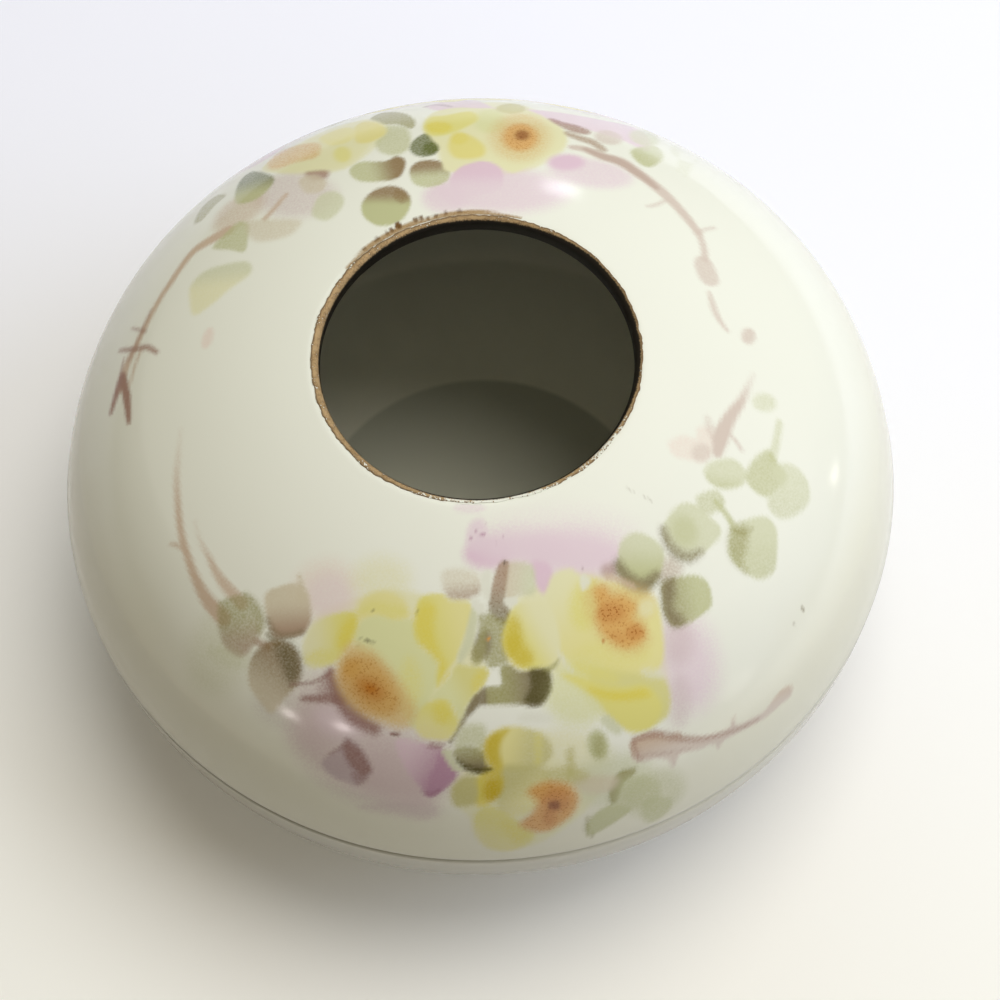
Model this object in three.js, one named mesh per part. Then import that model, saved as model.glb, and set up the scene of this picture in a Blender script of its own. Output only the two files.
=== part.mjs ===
// A porcelain hair receiver: a low round bowl on a foot ring, a domed lid with a round opening,
// and a thin gilt band let into the edge of the opening. Millimetres, +Z up, with the origin on
// the table under the middle of the bowl. Every piece is turned about the Z axis.

import * as THREE from 'three';

// Overall
const bodyRadius = 57;
const seamHeight = 28.5;
const crownHeight = 57.4;

// Lid
const shoulderInset = 7.7;
const shoulderDrop = 12.1;
const shoulderRounding = 7;
const domeBulge = 1.7;
const sideBulge = 1.1;
const lidWall = 2.9;
const openingRadius = 19.8;
const openingEdgeThickness = 2;
const openingThinning = 9;
const lidFootThickness = 3.2;
const socketDepth = 4.2;
const lidEdgeRounding = 0.7;

// Gilt band on the edge of the opening
const giltThickness = 0.25;
const giltWidth = 1;
const openingEdgeRounding = 0.7;

// Bowl
const footOuterRadius = 30;
const footInnerRadius = 27;
const footHeight = 2;
const footRounding = 0.6;
const undersideRecess = 1.8;
const upperWallHeight = 4;
const floorRadius = 26;
const floorThickness = 2.4;
const collarThickness = 2.2;
const collarHeight = 3.4;
const collarRounding = 0.8;
const bowlEdgeRounding = 0.6;

// Fits
const collarClearance = 0.4;
const seatGap = 0.3;

// Steps round the turned pieces and along their curves
const turnSteps = 64;
const curveSteps = 5;
const roundingSteps = 2;
const innerRoundnessShare = 2 / 2.3;

const quarterTurn = Math.PI / 2;
const lidFoot = seamHeight + seatGap;
const socketRadius = bodyRadius - lidFootThickness;
const giltOuterRadius = openingRadius + giltWidth;

// A point of a turned outline: its distance from the axis and its height.
const point = (radius, height) => new THREE.Vector2(radius, height);

// Points from one place to another along a shallow curve that stands `bulge` proud of the straight
// line at its middle, on the side away from the axis and the table. Both ends are included.
function bulgedLine(from, to, bulge, steps) {
  const along = new THREE.Vector2().subVectors(to, from);
  const outward = new THREE.Vector2(along.y, -along.x).normalize();
  if (outward.x + outward.y < 0) outward.negate();
  const control = new THREE.Vector2().addVectors(from, to).multiplyScalar(1 / 2);
  control.addScaledVector(outward, bulge * 2);
  return new THREE.QuadraticBezierCurve(from, control, to).getPoints(steps);
}

// A corner of an outline rounded between a point before it and a point after it.
function roundedCorner(before, corner, after, steps) {
  return new THREE.QuadraticBezierCurve(before, corner, after).getPoints(steps);
}

// A quarter of an oval from its lowest point to its outermost point. A roundness share of 1 is an
// ellipse, and a smaller one is fuller.
function ovalQuarter(centreRadius, centreHeight, width, depth, roundnessShare, steps) {
  return Array.from({ length: steps + 1 }, (_, step) => {
    const angle = (quarterTurn * step) / steps;
    return point(
      centreRadius + width * Math.sin(angle) ** roundnessShare,
      centreHeight - depth * Math.max(Math.cos(angle), 0) ** roundnessShare,
    );
  });
}

// The part of a run of points that lies further than `distance` from its first point.
const beyond = (points, distance) => points.filter((each) => each.distanceTo(points[0]) > distance);

// The outline moved inward, square to itself, by a thickness that may change from point to point.
function movedInward(points, thicknessAt) {
  return points.map((each, index) => {
    const before = points[Math.max(index - 1, 0)];
    const after = points[Math.min(index + 1, points.length - 1)];
    const along = new THREE.Vector2().subVectors(after, before).normalize();
    return point(each.x, each.y).addScaledVector(point(-along.y, along.x), thicknessAt(each));
  });
}

// A closed solid turned about +Z. The outline runs anticlockwise with the axis on its left.
function turned(name, outline, look, closesOnItself) {
  const points = closesOnItself ? [...outline, outline[0]] : outline;
  const geometry = new THREE.LatheGeometry(points, turnSteps);
  geometry.rotateX(quarterTurn);
  const mesh = new THREE.Mesh(geometry, new THREE.MeshStandardMaterial(look));
  mesh.name = name;
  return mesh;
}

// The lid's outer surface from the seam up to the edge of the opening, without its edge rounding.
function lidSurface() {
  const foot = point(bodyRadius, lidFoot);
  const shoulder = point(bodyRadius - shoulderInset, crownHeight - shoulderDrop);
  const crown = point(giltOuterRadius, crownHeight);
  const side = bulgedLine(shoulder, foot, sideBulge, curveSteps * 2);
  const dome = bulgedLine(shoulder, crown, domeBulge, curveSteps * 2);
  const sideBelow = beyond(side, shoulderRounding).reverse();
  const domeBeyond = beyond(dome, shoulderRounding);
  const softShoulder = roundedCorner(sideBelow.at(-1), shoulder, domeBeyond[0], curveSteps);
  return [...sideBelow.slice(0, -1), ...softShoulder, ...domeBeyond.slice(1)];
}

const lidOutside = lidSurface();

// The edge of the opening as the gilt band covers it: from the crown, over the rounded edge and
// down the wall of the hole to the underside. `depth` sinks it below the finished surface.
function openingEdge(depth) {
  const wallRadius = openingRadius + depth;
  const top = crownHeight - depth;
  const bottom = crownHeight - openingEdgeThickness;
  const corner = point(wallRadius, top);
  return [
    point(giltOuterRadius, top),
    ...roundedCorner(
      point(wallRadius + openingEdgeRounding - depth, top),
      corner,
      point(wallRadius, top - openingEdgeRounding + depth),
      roundingSteps,
    ),
    point(wallRadius, bottom),
  ];
}

const giltBed = openingEdge(giltThickness);
const giltFace = openingEdge(0);

// The lid's wall is thinnest at the opening and reaches its full thickness a little way out.
function lidThickness(place) {
  const fullness = THREE.MathUtils.clamp((place.x - giltOuterRadius) / openingThinning, 0, 1);
  return openingEdgeThickness + (lidWall - openingEdgeThickness) * fullness;
}

function lid() {
  const outerEdge = roundedCorner(
    point(bodyRadius - lidEdgeRounding, lidFoot),
    point(bodyRadius, lidFoot),
    point(bodyRadius, lidFoot + lidEdgeRounding),
    roundingSteps,
  );
  const outside = lidOutside.filter((each) => each.y > lidFoot + lidEdgeRounding);
  const socketTop = point(socketRadius, lidFoot + socketDepth);
  const inside = movedInward(lidOutside, lidThickness)
    .filter((each) => each.y > socketTop.y && each.x < socketRadius && each.x > giltOuterRadius)
    .reverse();
  return turned(
    'lid',
    [
      point(socketRadius, lidFoot),
      ...outerEdge,
      ...outside,
      ...giltBed,
      ...inside,
      socketTop,
    ],
    { color: 0xe4e6d2, roughness: 0.12, metalness: 0 },
    true,
  );
}

function giltRim() {
  return turned(
    'gilt_rim',
    [...giltFace, ...[...giltBed].reverse()],
    { color: 0xab7f4f, roughness: 0.38, metalness: 1 },
    true,
  );
}

function bowl() {
  const wallFoot = seamHeight - upperWallHeight;
  const outerWall = ovalQuarter(
    footOuterRadius,
    wallFoot,
    bodyRadius - footOuterRadius,
    wallFoot - footHeight,
    1,
    curveSteps * 2,
  );
  const collarOuterRadius = socketRadius - collarClearance;
  const collarInnerRadius = collarOuterRadius - collarThickness;
  const collarTop = seamHeight + collarHeight;
  const innerWall = ovalQuarter(
    floorRadius,
    wallFoot,
    collarInnerRadius - floorRadius,
    wallFoot - undersideRecess - floorThickness,
    innerRoundnessShare,
    curveSteps * 2,
  ).reverse();
  return turned(
    'bowl',
    [
      point(0, undersideRecess),
      point(footInnerRadius, undersideRecess),
      ...roundedCorner(
        point(footInnerRadius, footRounding),
        point(footInnerRadius, 0),
        point(footInnerRadius + footRounding, 0),
        roundingSteps,
      ),
      ...roundedCorner(
        point(footOuterRadius - footRounding, 0),
        point(footOuterRadius, 0),
        point(footOuterRadius, footRounding),
        roundingSteps,
      ),
      ...outerWall,
      ...roundedCorner(
        point(bodyRadius, seamHeight - bowlEdgeRounding),
        point(bodyRadius, seamHeight),
        point(bodyRadius - bowlEdgeRounding, seamHeight),
        roundingSteps,
      ),
      point(collarOuterRadius, seamHeight),
      ...roundedCorner(
        point(collarOuterRadius, collarTop - collarRounding),
        point(collarOuterRadius, collarTop),
        point(collarOuterRadius - collarRounding, collarTop),
        roundingSteps,
      ),
      ...roundedCorner(
        point(collarInnerRadius + collarRounding, collarTop),
        point(collarInnerRadius, collarTop),
        point(collarInnerRadius, collarTop - collarRounding),
        roundingSteps,
      ),
      ...innerWall,
      point(0, undersideRecess + floorThickness),
    ],
    { color: 0xe2e4d4, roughness: 0.14, metalness: 0 },
    false,
  );
}

const hairReceiver = new THREE.Group();
hairReceiver.add(bowl(), lid(), giltRim());

export default hairReceiver;
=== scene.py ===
"""A painted porcelain hair receiver on a pale floor.

Every piece is a surface turned about the Z axis, in metres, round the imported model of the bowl, the lid
and the gilt rim. The flowers are painted on the lid with numpy, as layers of fired colour.
"""

import math
from dataclasses import dataclass

import bpy
import numpy as np
from bpy.props import FloatProperty, FloatVectorProperty, PointerProperty
from mathutils import Matrix, Vector


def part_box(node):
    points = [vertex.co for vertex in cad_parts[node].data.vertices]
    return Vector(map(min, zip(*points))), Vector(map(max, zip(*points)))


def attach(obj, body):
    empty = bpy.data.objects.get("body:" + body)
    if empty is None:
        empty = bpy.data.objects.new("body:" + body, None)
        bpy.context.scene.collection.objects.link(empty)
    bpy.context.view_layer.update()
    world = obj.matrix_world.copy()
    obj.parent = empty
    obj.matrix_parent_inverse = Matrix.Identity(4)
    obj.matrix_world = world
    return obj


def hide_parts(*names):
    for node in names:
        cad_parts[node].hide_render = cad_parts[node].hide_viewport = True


bl_info = {
    "name": "Porcelain hair receiver",
    "version": (1, 0, 0),
    "blender": (4, 5, 0),
    "location": "View3D > Sidebar > Hair receiver",
    "description": "Makes the bowl, the painted lid and the gilding of a porcelain hair receiver",
    "category": "Add Mesh",
}

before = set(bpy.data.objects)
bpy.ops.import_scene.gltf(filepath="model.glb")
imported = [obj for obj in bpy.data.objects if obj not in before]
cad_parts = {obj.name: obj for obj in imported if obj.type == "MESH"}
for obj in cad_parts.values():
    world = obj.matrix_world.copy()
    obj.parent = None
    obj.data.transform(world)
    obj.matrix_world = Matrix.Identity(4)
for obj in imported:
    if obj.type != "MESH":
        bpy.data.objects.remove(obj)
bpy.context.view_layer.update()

MM = 0.001
FULL_TURN = 2 * math.pi

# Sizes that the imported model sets
COLLAR_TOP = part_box("bowl")[1].z
LID_LOW, LID_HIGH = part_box("lid")
GILT_LOW, GILT_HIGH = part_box("gilt_rim")
BODY_RADIUS = LID_HIGH.x
LID_FOOT = LID_LOW.z
CROWN_HEIGHT = LID_HIGH.z
GILT_RADIUS = GILT_HIGH.x
GILT_FOOT = GILT_LOW.z

# Steps round the pieces, and rows across them
LID_TURN_STEPS = 704
LID_OUTER_ROWS = 118
LID_INNER_ROWS = 23
BOWL_TURN_STEPS = 420
BOWL_ROWS = 228
GILT_TURN_STEPS = 1500
GILT_FACE_ROWS = 30
GILT_BACK_ROWS = 8

# Outlines: the points of a curve, the steps in which a corner is softened and how far it is, and how much
# closer together the rows stand near a corner, and within what reach
CURVE_POINTS = 200
OUTLINE_STEP = 0.05 * MM
CORNER_REACH = 0.35 * MM
CROWDING = 14
CROWDING_REACH = 0.6 * MM

# The edge of the opening: how far its curve reaches, how far in it is at the curve's middle, and how deep
# the lid and the back of the gold lie below the face of the gold
LIP_REACH = 0.75 * MM
LIP_CORNER = 0.2 * MM
LID_SINK = 0.05 * MM
GILT_BACK_SINK = 0.12 * MM

# The power of the superellipse inside the bowl
INNER_ROUNDNESS = 2 / 2.3

# The photograph: its size, and the camera that took it
PHOTO_SIZE = 1000
FOCAL_PIXELS = 1900
CAMERA_PLACE = np.array((0, -119.3, 263.9)) * MM
CAMERA_HEADING = math.radians(1.28)
CAMERA_DIP = math.radians(64.4)
CAMERA_ROLL = math.radians(-0.7)
SENSOR_WIDTH_MM = 36


def a_length(name, description, default):
    """A length that a user may set."""
    return FloatProperty(name=name, description=description, default=default, min=0, unit="LENGTH")


def a_colour(name, description, default):
    """A colour that a user may set."""
    return FloatVectorProperty(
        name=name, description=description, default=default, subtype="COLOR", size=3, min=0, max=1
    )


def a_number(name, description, default):
    """A number from 0 up that a user may set."""
    return FloatProperty(name=name, description=description, default=default, min=0)


class LidSizes(bpy.types.PropertyGroup):
    """The sizes of the lid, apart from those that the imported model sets."""

    shoulder_inset: a_length(
        "Shoulder inset", "How far the shoulder stands in from the widest part of the body", 7.7 * MM
    )
    shoulder_drop: a_length("Shoulder drop", "How far the shoulder lies below the crown", 12.1 * MM)
    shoulder_rounding: a_length("Shoulder rounding", "How far from the shoulder its rounding starts", 7 * MM)
    dome_bulge: a_length("Dome bulge", "How far the dome stands proud of a straight line", 1.7 * MM)
    side_bulge: a_length("Side bulge", "How far the side stands proud of a straight line", 1.1 * MM)
    wall: a_length("Wall", "Thickness of the lid", 2.9 * MM)
    lip: a_length("Lip", "Thickness of the lid at the edge of the opening", 2 * MM)
    thinning: a_length("Thinning", "How far from the opening the lid reaches its full thickness", 9 * MM)
    opening_radius: a_length("Opening radius", "Radius of the round opening", GILT_RADIUS - 1 * MM)
    foot_thickness: a_length("Foot thickness", "Thickness of the lid where it rests on the bowl", 3.2 * MM)
    socket_depth: a_length(
        "Socket depth", "Depth of the upright recess that drops over the bowl's collar", 4.2 * MM
    )
    edge_rounding: a_length("Edge rounding", "Rounding of the lid's lower edge", 0.7 * MM)


class BowlSizes(bpy.types.PropertyGroup):
    """The sizes of the bowl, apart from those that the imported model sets."""

    foot_outer_radius: a_length("Foot outer radius", "Outer radius of the foot ring", 30 * MM)
    foot_inner_radius: a_length("Foot inner radius", "Inner radius of the foot ring", 27 * MM)
    foot_height: a_length("Foot height", "Height of the foot ring", 2 * MM)
    underside_recess: a_length(
        "Underside recess", "Depth of the glazed recess inside the foot ring", 1.8 * MM
    )
    seam_height: a_length("Seam height", "Height of the ledge that carries the lid", 28.5 * MM)
    upper_wall_height: a_length("Upper wall height", "Height of the upright wall below the seam", 4 * MM)
    floor_radius: a_length("Floor radius", "Radius of the flat floor inside", 26 * MM)
    floor_thickness: a_length("Floor thickness", "Thickness of the floor", 2.4 * MM)
    crease_slope: a_number(
        "Crease slope", "Slope of the inner wall where it meets the flat floor in a crease", 0.28
    )
    collar_radius: a_length(
        "Collar radius", "Outer radius of the upright collar that centres the lid", 53.4 * MM
    )
    collar_thickness: a_length("Collar thickness", "Thickness of the collar", 2.2 * MM)


class Finishes(bpy.types.PropertyGroup):
    """The colours of the porcelain, the gold and the floor."""

    glaze: a_colour("Glaze", "Pale greenish cream of the glaze", (0.785, 0.800, 0.712))
    # Below the shoulder the glaze is darker: partly a duller ground, partly painted shade on the sides
    shaded_foot_glaze: a_colour(
        "Glaze below the shoulder", "Duller ground of the lid's sides", (0.74, 0.735, 0.605)
    )
    # The greyer glaze inside and the darker floor inside are painted shade, where light comes in only
    # through the opening
    shaded_inside_glaze: a_colour("Inside glaze", "Greyer glaze inside the bowl and the lid", (0.63, 0.63, 0.57))
    shaded_inside_floor: a_colour(
        "Inside floor", "Glaze on the flat floor inside the bowl", (0.60, 0.61, 0.52)
    )
    biscuit: a_colour("Biscuit", "Bare fired porcelain on the foot ring", (0.70, 0.66, 0.56))
    gold: a_colour("Gold", "Fired gold, dulled by handling", (0.52, 0.365, 0.19))
    floor: a_colour("Floor", "Pale floor", (0.81, 0.83, 0.95))


class StageLight(bpy.types.PropertyGroup):
    """The lamps and the sky."""

    key_strength: a_number(
        "Window light", "Light that the windows throw, where 1 shows white about as white", 1.0
    )
    glint_strength: a_number("Glints", "Brightness of the windows and lamps that the glaze mirrors", 8)
    floor_glow: a_number(
        "Floor glow", "How far the floor's shadows are lifted where it is seen or mirrored", 1.0
    )
    sky_strength: a_number("Room light", "Light from all sides", 0.20)


# Outlines: rows of (distance from the axis, height)


def quadratic(start, control, end):
    """Quadratic Bezier curve: start (1-t)^2 + control 2t(1-t) + end t^2."""
    start, control, end = map(np.asarray, (start, control, end))
    t = np.linspace(0, 1, CURVE_POINTS)[:, None]
    return start * (1 - t) ** 2 + control * 2 * t * (1 - t) + end * t**2


def bulged(start, end, bulge):
    """A shallow curve whose middle stands `bulge` proud of the straight line, outwards and upwards."""
    start, end = np.asarray(start), np.asarray(end)
    along = (end - start) / np.hypot(*(end - start))
    outward = np.array((along[1], -along[0]))
    outward *= np.sign(outward.sum())
    return quadratic(start, (start + end) / 2 + outward * bulge * 2, end)


def beyond(points, distance):
    """The part of a run of points that lies further than `distance` from its first point."""
    return points[np.hypot(*(points - points[0]).T) > distance]


def oval_quarter(centre, width, depth, roundness):
    """Superellipse quarter from its lowest point to its outermost: sin and -cos of the angle, each to the
    power `roundness`."""
    angle = np.linspace(0, 1, CURVE_POINTS) * math.pi / 2
    across = np.sin(angle) ** roundness
    down = np.clip(np.cos(angle), 0, 1) ** roundness
    return np.stack((centre[0] + width * across, centre[1] - depth * down), 1)


def run_lengths(points):
    """Distance along a run of points, from its first point."""
    steps = np.hypot(*np.diff(points, axis=0).T)
    return np.concatenate(([0], np.cumsum(steps)))


def resampled(points, distances):
    """The points of a run at given distances along it."""
    lengths = run_lengths(points)
    return np.stack([np.interp(distances, lengths, points[:, axis]) for axis in (0, 1)], 1)


def softened(points):
    """The run with its corners softened: a bell-weighted moving mean of even steps, ends kept."""
    total = run_lengths(points)[-1]
    even = resampled(points, np.arange(0, total, OUTLINE_STEP))
    half = int(2 * CORNER_REACH / OUTLINE_STEP)
    bell = np.exp(-0.5 * (np.arange(-half, half + 1) * OUTLINE_STEP / CORNER_REACH) ** 2)
    padded = np.pad(even, ((half, half), (0, 0)), mode="reflect", reflect_type="odd")
    columns = [np.convolve(padded[:, axis], bell / bell.sum(), "valid") for axis in (0, 1)]
    return np.stack(columns, 1)


def rows(points, count, crowding=None):
    """`count` points of a run. Where `crowding(distance)` is larger, the points stand closer together."""
    lengths = run_lengths(points)
    weight = np.ones_like(lengths) if crowding is None else crowding(lengths)
    reached = np.concatenate(([0], np.cumsum(np.diff(lengths) * (weight[1:] + weight[:-1]) / 2)))
    distances = np.interp(np.linspace(0, reached[-1], count), reached, lengths)
    return resampled(points, distances)


def nearer_corners(corners):
    """A crowding of rows near the corners of a run, apart from its first."""
    places = run_lengths(np.array(corners))[1:]

    def crowding(distances):
        bells = (np.exp(-(((distances - place) / CROWDING_REACH) ** 2)) for place in places)
        return 1 + CROWDING * sum(bells)

    return crowding


# Pigments as they look on the fired lid, each channel from 0 to 255
PIGMENTS = {
    "glaze": (226, 228, 208),
    "bare": (226, 227, 212),
    "deep gold": (196, 168, 24),
    "gold": (206, 187, 62),
    "lemon": (222, 208, 88),
    "soft lemon": (223, 217, 130),
    "pale lemon": (227, 221, 155),
    "cream": (228, 226, 184),
    "green cream": (219, 221, 168),
    "dull lemon": (216, 212, 142),
    "olive cream": (195, 190, 128),
    "amber": (200, 150, 68),
    "deep amber": (178, 108, 22),
    "pale amber": (216, 185, 122),
    "sienna": (215, 158, 84),
    "russet": (188, 118, 55),
    "deep russet": (126, 60, 20),
    "peach": (232, 218, 206),
    "leaf dew": (208, 211, 178),
    "leaf": (191, 194, 148),
    "leaf olive": (155, 152, 96),
    "leaf shade": (132, 121, 92),
    "leaf brown": (142, 118, 80),
    "leaf night": (84, 78, 38),
    "moss": (90, 100, 32),
    "tan": (210, 200, 174),
    "stalk": (205, 183, 160),
    "dark stalk": (173, 148, 126),
    "pink stalk": (210, 196, 184),
    "rust stalk": (163, 127, 112),
    "lilac": (222, 195, 210),
    "pale lilac": (226, 207, 216),
    "mauve": (182, 141, 164),
    "deep mauve": (152, 108, 128),
    "grey mauve": (206, 187, 188),
    "slate mauve": (188, 170, 174),
    "warm grey": (204, 197, 190),
    "plum brown": (146, 108, 100),
    "ink": (70, 62, 42),
    "gilt brown": (112, 82, 46),
    "gilt": (170, 143, 102),
}

# The layers of fired colour, from the lowest up
LAYERS = ("mist", "stalks", "leaves", "petals", "shades", "hearts", "nicks")

# Strokes: the size of the photograph's pixel on the lid, the points of an oval, and the steps of the curve
# from one point to the next
PIXEL = MM / 7.6
OVAL_POINTS = 14
STROKE_STEPS = 5

# How brightly the room lights the pigments, how far from an edge its distance is kept, and how softly a
# crisp stroke blends into others of its layer
PIGMENT_LIGHT = 1.07
EDGE_REACH = 0.8 * MM
BLEND_REACH = 0.25 * MM

# Numbers that stand in for 0 in a division
LEAST_SQUARE = 1e-12
LEAST_STRENGTH = 1e-9


def camera_axes():
    """The camera's right, up and forward directions from its heading, dip and roll."""
    heading, dip, roll = CAMERA_HEADING, CAMERA_DIP, CAMERA_ROLL
    forward = np.array(
        (math.sin(heading) * math.cos(dip), math.cos(heading) * math.cos(dip), -math.sin(dip))
    )
    level = np.array((math.cos(heading), -math.sin(heading), 0))
    above = np.cross(level, forward)
    right = level * math.cos(roll) + above * math.sin(roll)
    up = above * math.cos(roll) - level * math.sin(roll)
    return right, up, forward


def rise(values, low, high):
    """0 below `low`, 1 above `high`, and 3t^2 - 2t^3 between."""
    t = np.clip((values - low) / (high - low), 0, 1)
    return t * t * (3 - 2 * t)


def pixels(text):
    """Photograph pixels from a text such as "312,626 330,614"."""
    return np.array([[float(number) for number in pair.split(",")] for pair in text.split()])


def oval(x, y, half_width, half_height, turn=0.0):
    """Pixels round an oval: x + a cos t, y + b sin t, turned clockwise in degrees."""
    t = np.arange(OVAL_POINTS) * FULL_TURN / OVAL_POINTS
    across, down = half_width * np.cos(t), half_height * np.sin(t)
    turn = math.radians(turn)
    return np.stack(
        (
            x + across * math.cos(turn) - down * math.sin(turn),
            y + across * math.sin(turn) + down * math.cos(turn),
        ),
        1,
    )


def smooth_run(points, closed):
    """Catmull-Rom curve through the points, STROKE_STEPS points from each to the next."""
    if closed:
        before, start = np.roll(points, 1, 0), points
        end, after = np.roll(points, -1, 0), np.roll(points, -2, 0)
    else:
        padded = np.concatenate((points[:1], points, points[-1:]))
        before, start, end, after = padded[:-3], padded[1:-2], padded[2:-1], padded[3:]
    t = (np.arange(STROKE_STEPS) / STROKE_STEPS)[None, :, None]
    before, start, end, after = (each[:, None] for each in (before, start, end, after))
    curve = 0.5 * (
        2 * start
        + (end - before) * t
        + (2 * before - 5 * start + 4 * end - after) * t**2
        + (3 * start - before - 3 * end + after) * t**3
    )
    curve = curve.reshape(-1, points.shape[1])
    return curve if closed else np.concatenate((curve, points[-1:]))


def linear(pigment):
    """A pigment in linear light: the sRGB curve undone, and then the room's light, PIGMENT_LIGHT."""
    share = np.asarray(PIGMENTS[pigment], float) / 255
    return np.where(share <= 0.04045, share / 12.92, ((share + 0.055) / 1.055) ** 2.4) / PIGMENT_LIGHT


def line_depths(places, starts, ends, widths):
    """How deep each place lies inside a line of segments, whose width changes from one of `widths` to the
    next along each. Beside the line it is below 0."""
    along = ends - starts
    squares = np.maximum((along**2).sum(1), LEAST_SQUARE)
    deepest = np.full(len(places), -np.inf)
    for index, start in enumerate(starts):
        offset = places - start
        share = np.clip(offset @ along[index] / squares[index], 0, 1)
        distance = np.hypot(*(offset - share[:, None] * along[index]).T)
        width = widths[index] * (1 - share) + widths[index + 1] * share
        deepest = np.maximum(deepest, width / 2 - distance)
    return deepest


def inside_outline(places, starts, ends):
    """Whether each place lies inside a closed outline, by counting the edges that a ray crosses."""
    inside = np.zeros(len(places), bool)
    for start, end in zip(starts, ends):
        spans = (start[1] > places[:, 1]) != (end[1] > places[:, 1])
        if start[1] != end[1]:
            crossing = start[0] + (places[:, 1] - start[1]) * (end[0] - start[0]) / (end[1] - start[1])
            inside ^= spans & (places[:, 0] < crossing)
    return inside


@dataclass
class Stroke:
    """One touch of the brush: a filled outline, or a line where `widths` is set. Its points are photograph
    pixels, or places on the chart where it is `unseen`, and may be written as a text."""

    layer: str
    points: object
    pigment: str
    strength: float
    feather: float
    fade: tuple = None
    widths: tuple = None
    grain: float = 0
    unseen: bool = False

    def on_chart(self, points, chart):
        """Where some points of the stroke lie on the chart."""
        if self.unseen:
            return behind(points) if isinstance(points, str) else points
        return chart.from_pixels(pixels(points) if isinstance(points, str) else points)

    def widths_along(self, count):
        """The width of the line at `count` points along it, which is 0 for a filled outline."""
        given = np.array(self.widths or (0,), float) * PIXEL
        return np.interp(np.linspace(0, 1, count), np.linspace(0, 1, len(given)), given)

    def depths(self, places, points, widths):
        """How deep each place lies inside the stroke."""
        if self.widths:
            return line_depths(places, points[:-1], points[1:], widths)
        ends = np.roll(points, -1, 0)
        depths = line_depths(places, points, ends, np.append(widths, 0))
        return np.where(inside_outline(places, points, ends), -depths, depths)

    def colours(self, places, chart):
        """The stroke's colour and strength at each place. A fade changes both along its way."""
        colour, strength = linear(self.pigment)[None], self.strength
        if self.fade:
            way, last_pigment, last_strength = self.fade
            start, end = self.on_chart(way, chart)
            share = rise((places - start) @ (end - start) / ((end - start) ** 2).sum(), 0, 1)
            strength = strength * (1 - share) + last_strength * share
            colour = colour * (1 - share[:, None]) + linear(last_pigment) * share[:, None]
        return colour, strength


def flat(azimuth, run):
    """Where a place on the lid lies on the flat chart."""
    return np.stack((run * np.cos(azimuth), run * np.sin(azimuth)), -1)


def behind(text):
    """Places on the flat chart from a text such as "95,54 88,57": azimuth in degrees, run in millimetres."""
    azimuth, run = pixels(text).T
    return flat(np.radians(azimuth), run * MM)


def far_oval(azimuth, run, across, down, turn=0.0):
    """A hand-drawn oval on the flat chart, its half sizes in millimetres round the axis and away from it.
    Its radius is uneven: 1 + 0.10 sin(2t + azimuth) + 0.08 sin(3t + run)."""
    t = np.arange(OVAL_POINTS) * FULL_TURN / OVAL_POINTS
    uneven = 1 + 0.10 * np.sin(2 * t + azimuth) + 0.08 * np.sin(3 * t + run)
    round_axis, outwards = oval(0, 0, across, down, turn).T * uneven
    azimuth = math.radians(azimuth)
    middle = flat(azimuth, run * MM)
    sideways, away = flat(azimuth + math.pi / 2, MM), flat(azimuth, MM)
    return middle + round_axis[:, None] * sideways + outwards[:, None] * away


class LidChart:
    """The lid's outer surface laid out flat: round the axis by azimuth, and outwards by the run, which is
    the radius of the gold's edge and from there on the distance along the surface."""

    def __init__(self, outline):
        self.radius, self.height = outline.T
        self.run = self.radius[0] + run_lengths(outline)

    def from_pixels(self, places):
        """Where the camera's rays through some pixels first meet the surface: each ray is followed down
        through the heights of the outline, until it is nearer to the axis than the outline is."""
        right, up, forward = camera_axes()
        across = (places[:, :1] - PHOTO_SIZE / 2) / FOCAL_PIXELS
        down = (places[:, 1:] - PHOTO_SIZE / 2) / FOCAL_PIXELS
        rays = forward + across * right - down * up
        reach = (self.height - CAMERA_PLACE[2]) / rays[:, 2:]
        x = CAMERA_PLACE[0] + reach * rays[:, :1]
        y = CAMERA_PLACE[1] + reach * rays[:, 1:2]
        outside = np.hypot(x, y) - self.radius
        first = np.argmax(outside < 0, axis=1)
        first = np.where((outside < 0).any(1), np.maximum(first, 1), 1)
        each = np.arange(len(places))
        before, after = outside[each, first - 1], outside[each, first]
        share = before / (before - after)
        x, y, run = (
            values[each, first - 1] * (1 - share) + values[each, first] * share
            for values in (x, y, np.broadcast_to(self.run, x.shape))
        )
        return flat(np.arctan2(y, x), run)


class Layer:
    """One layer of fired colour: its colour, how strong it is, and how deep each place lies inside it."""

    def __init__(self, count):
        self.colour = np.tile(linear("glaze"), (count, 1))
        self.strength = np.zeros(count)
        self.depth = np.full(count, -EDGE_REACH)

    def painted(self):
        """Colour and strength, four numbers for each place."""
        return np.concatenate((self.colour, self.strength[:, None]), 1)

    def lay(self, who, depth, colour, strength, feather):
        """Lays a stroke over what is there. Outside every stroke the colour of the nearest one is kept,
        so that an edge doesn't pick up the bare glaze."""
        blur = max(feather, BLEND_REACH) / 2
        share = strength * rise(depth, -blur, blur)
        reach = np.clip(depth + (blur + BLEND_REACH), -EDGE_REACH, EDGE_REACH)
        bare = (self.depth[who] < 0) & (reach > self.depth[who])
        total = share + self.strength[who] * (1 - share)
        blend = np.where(bare, 1, share / np.maximum(total, LEAST_STRENGTH))[:, None]
        self.colour[who] = colour * blend + self.colour[who] * (1 - blend)
        self.strength[who] = np.where(bare, share, total)
        self.depth[who] = np.maximum(self.depth[who], reach)


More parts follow.
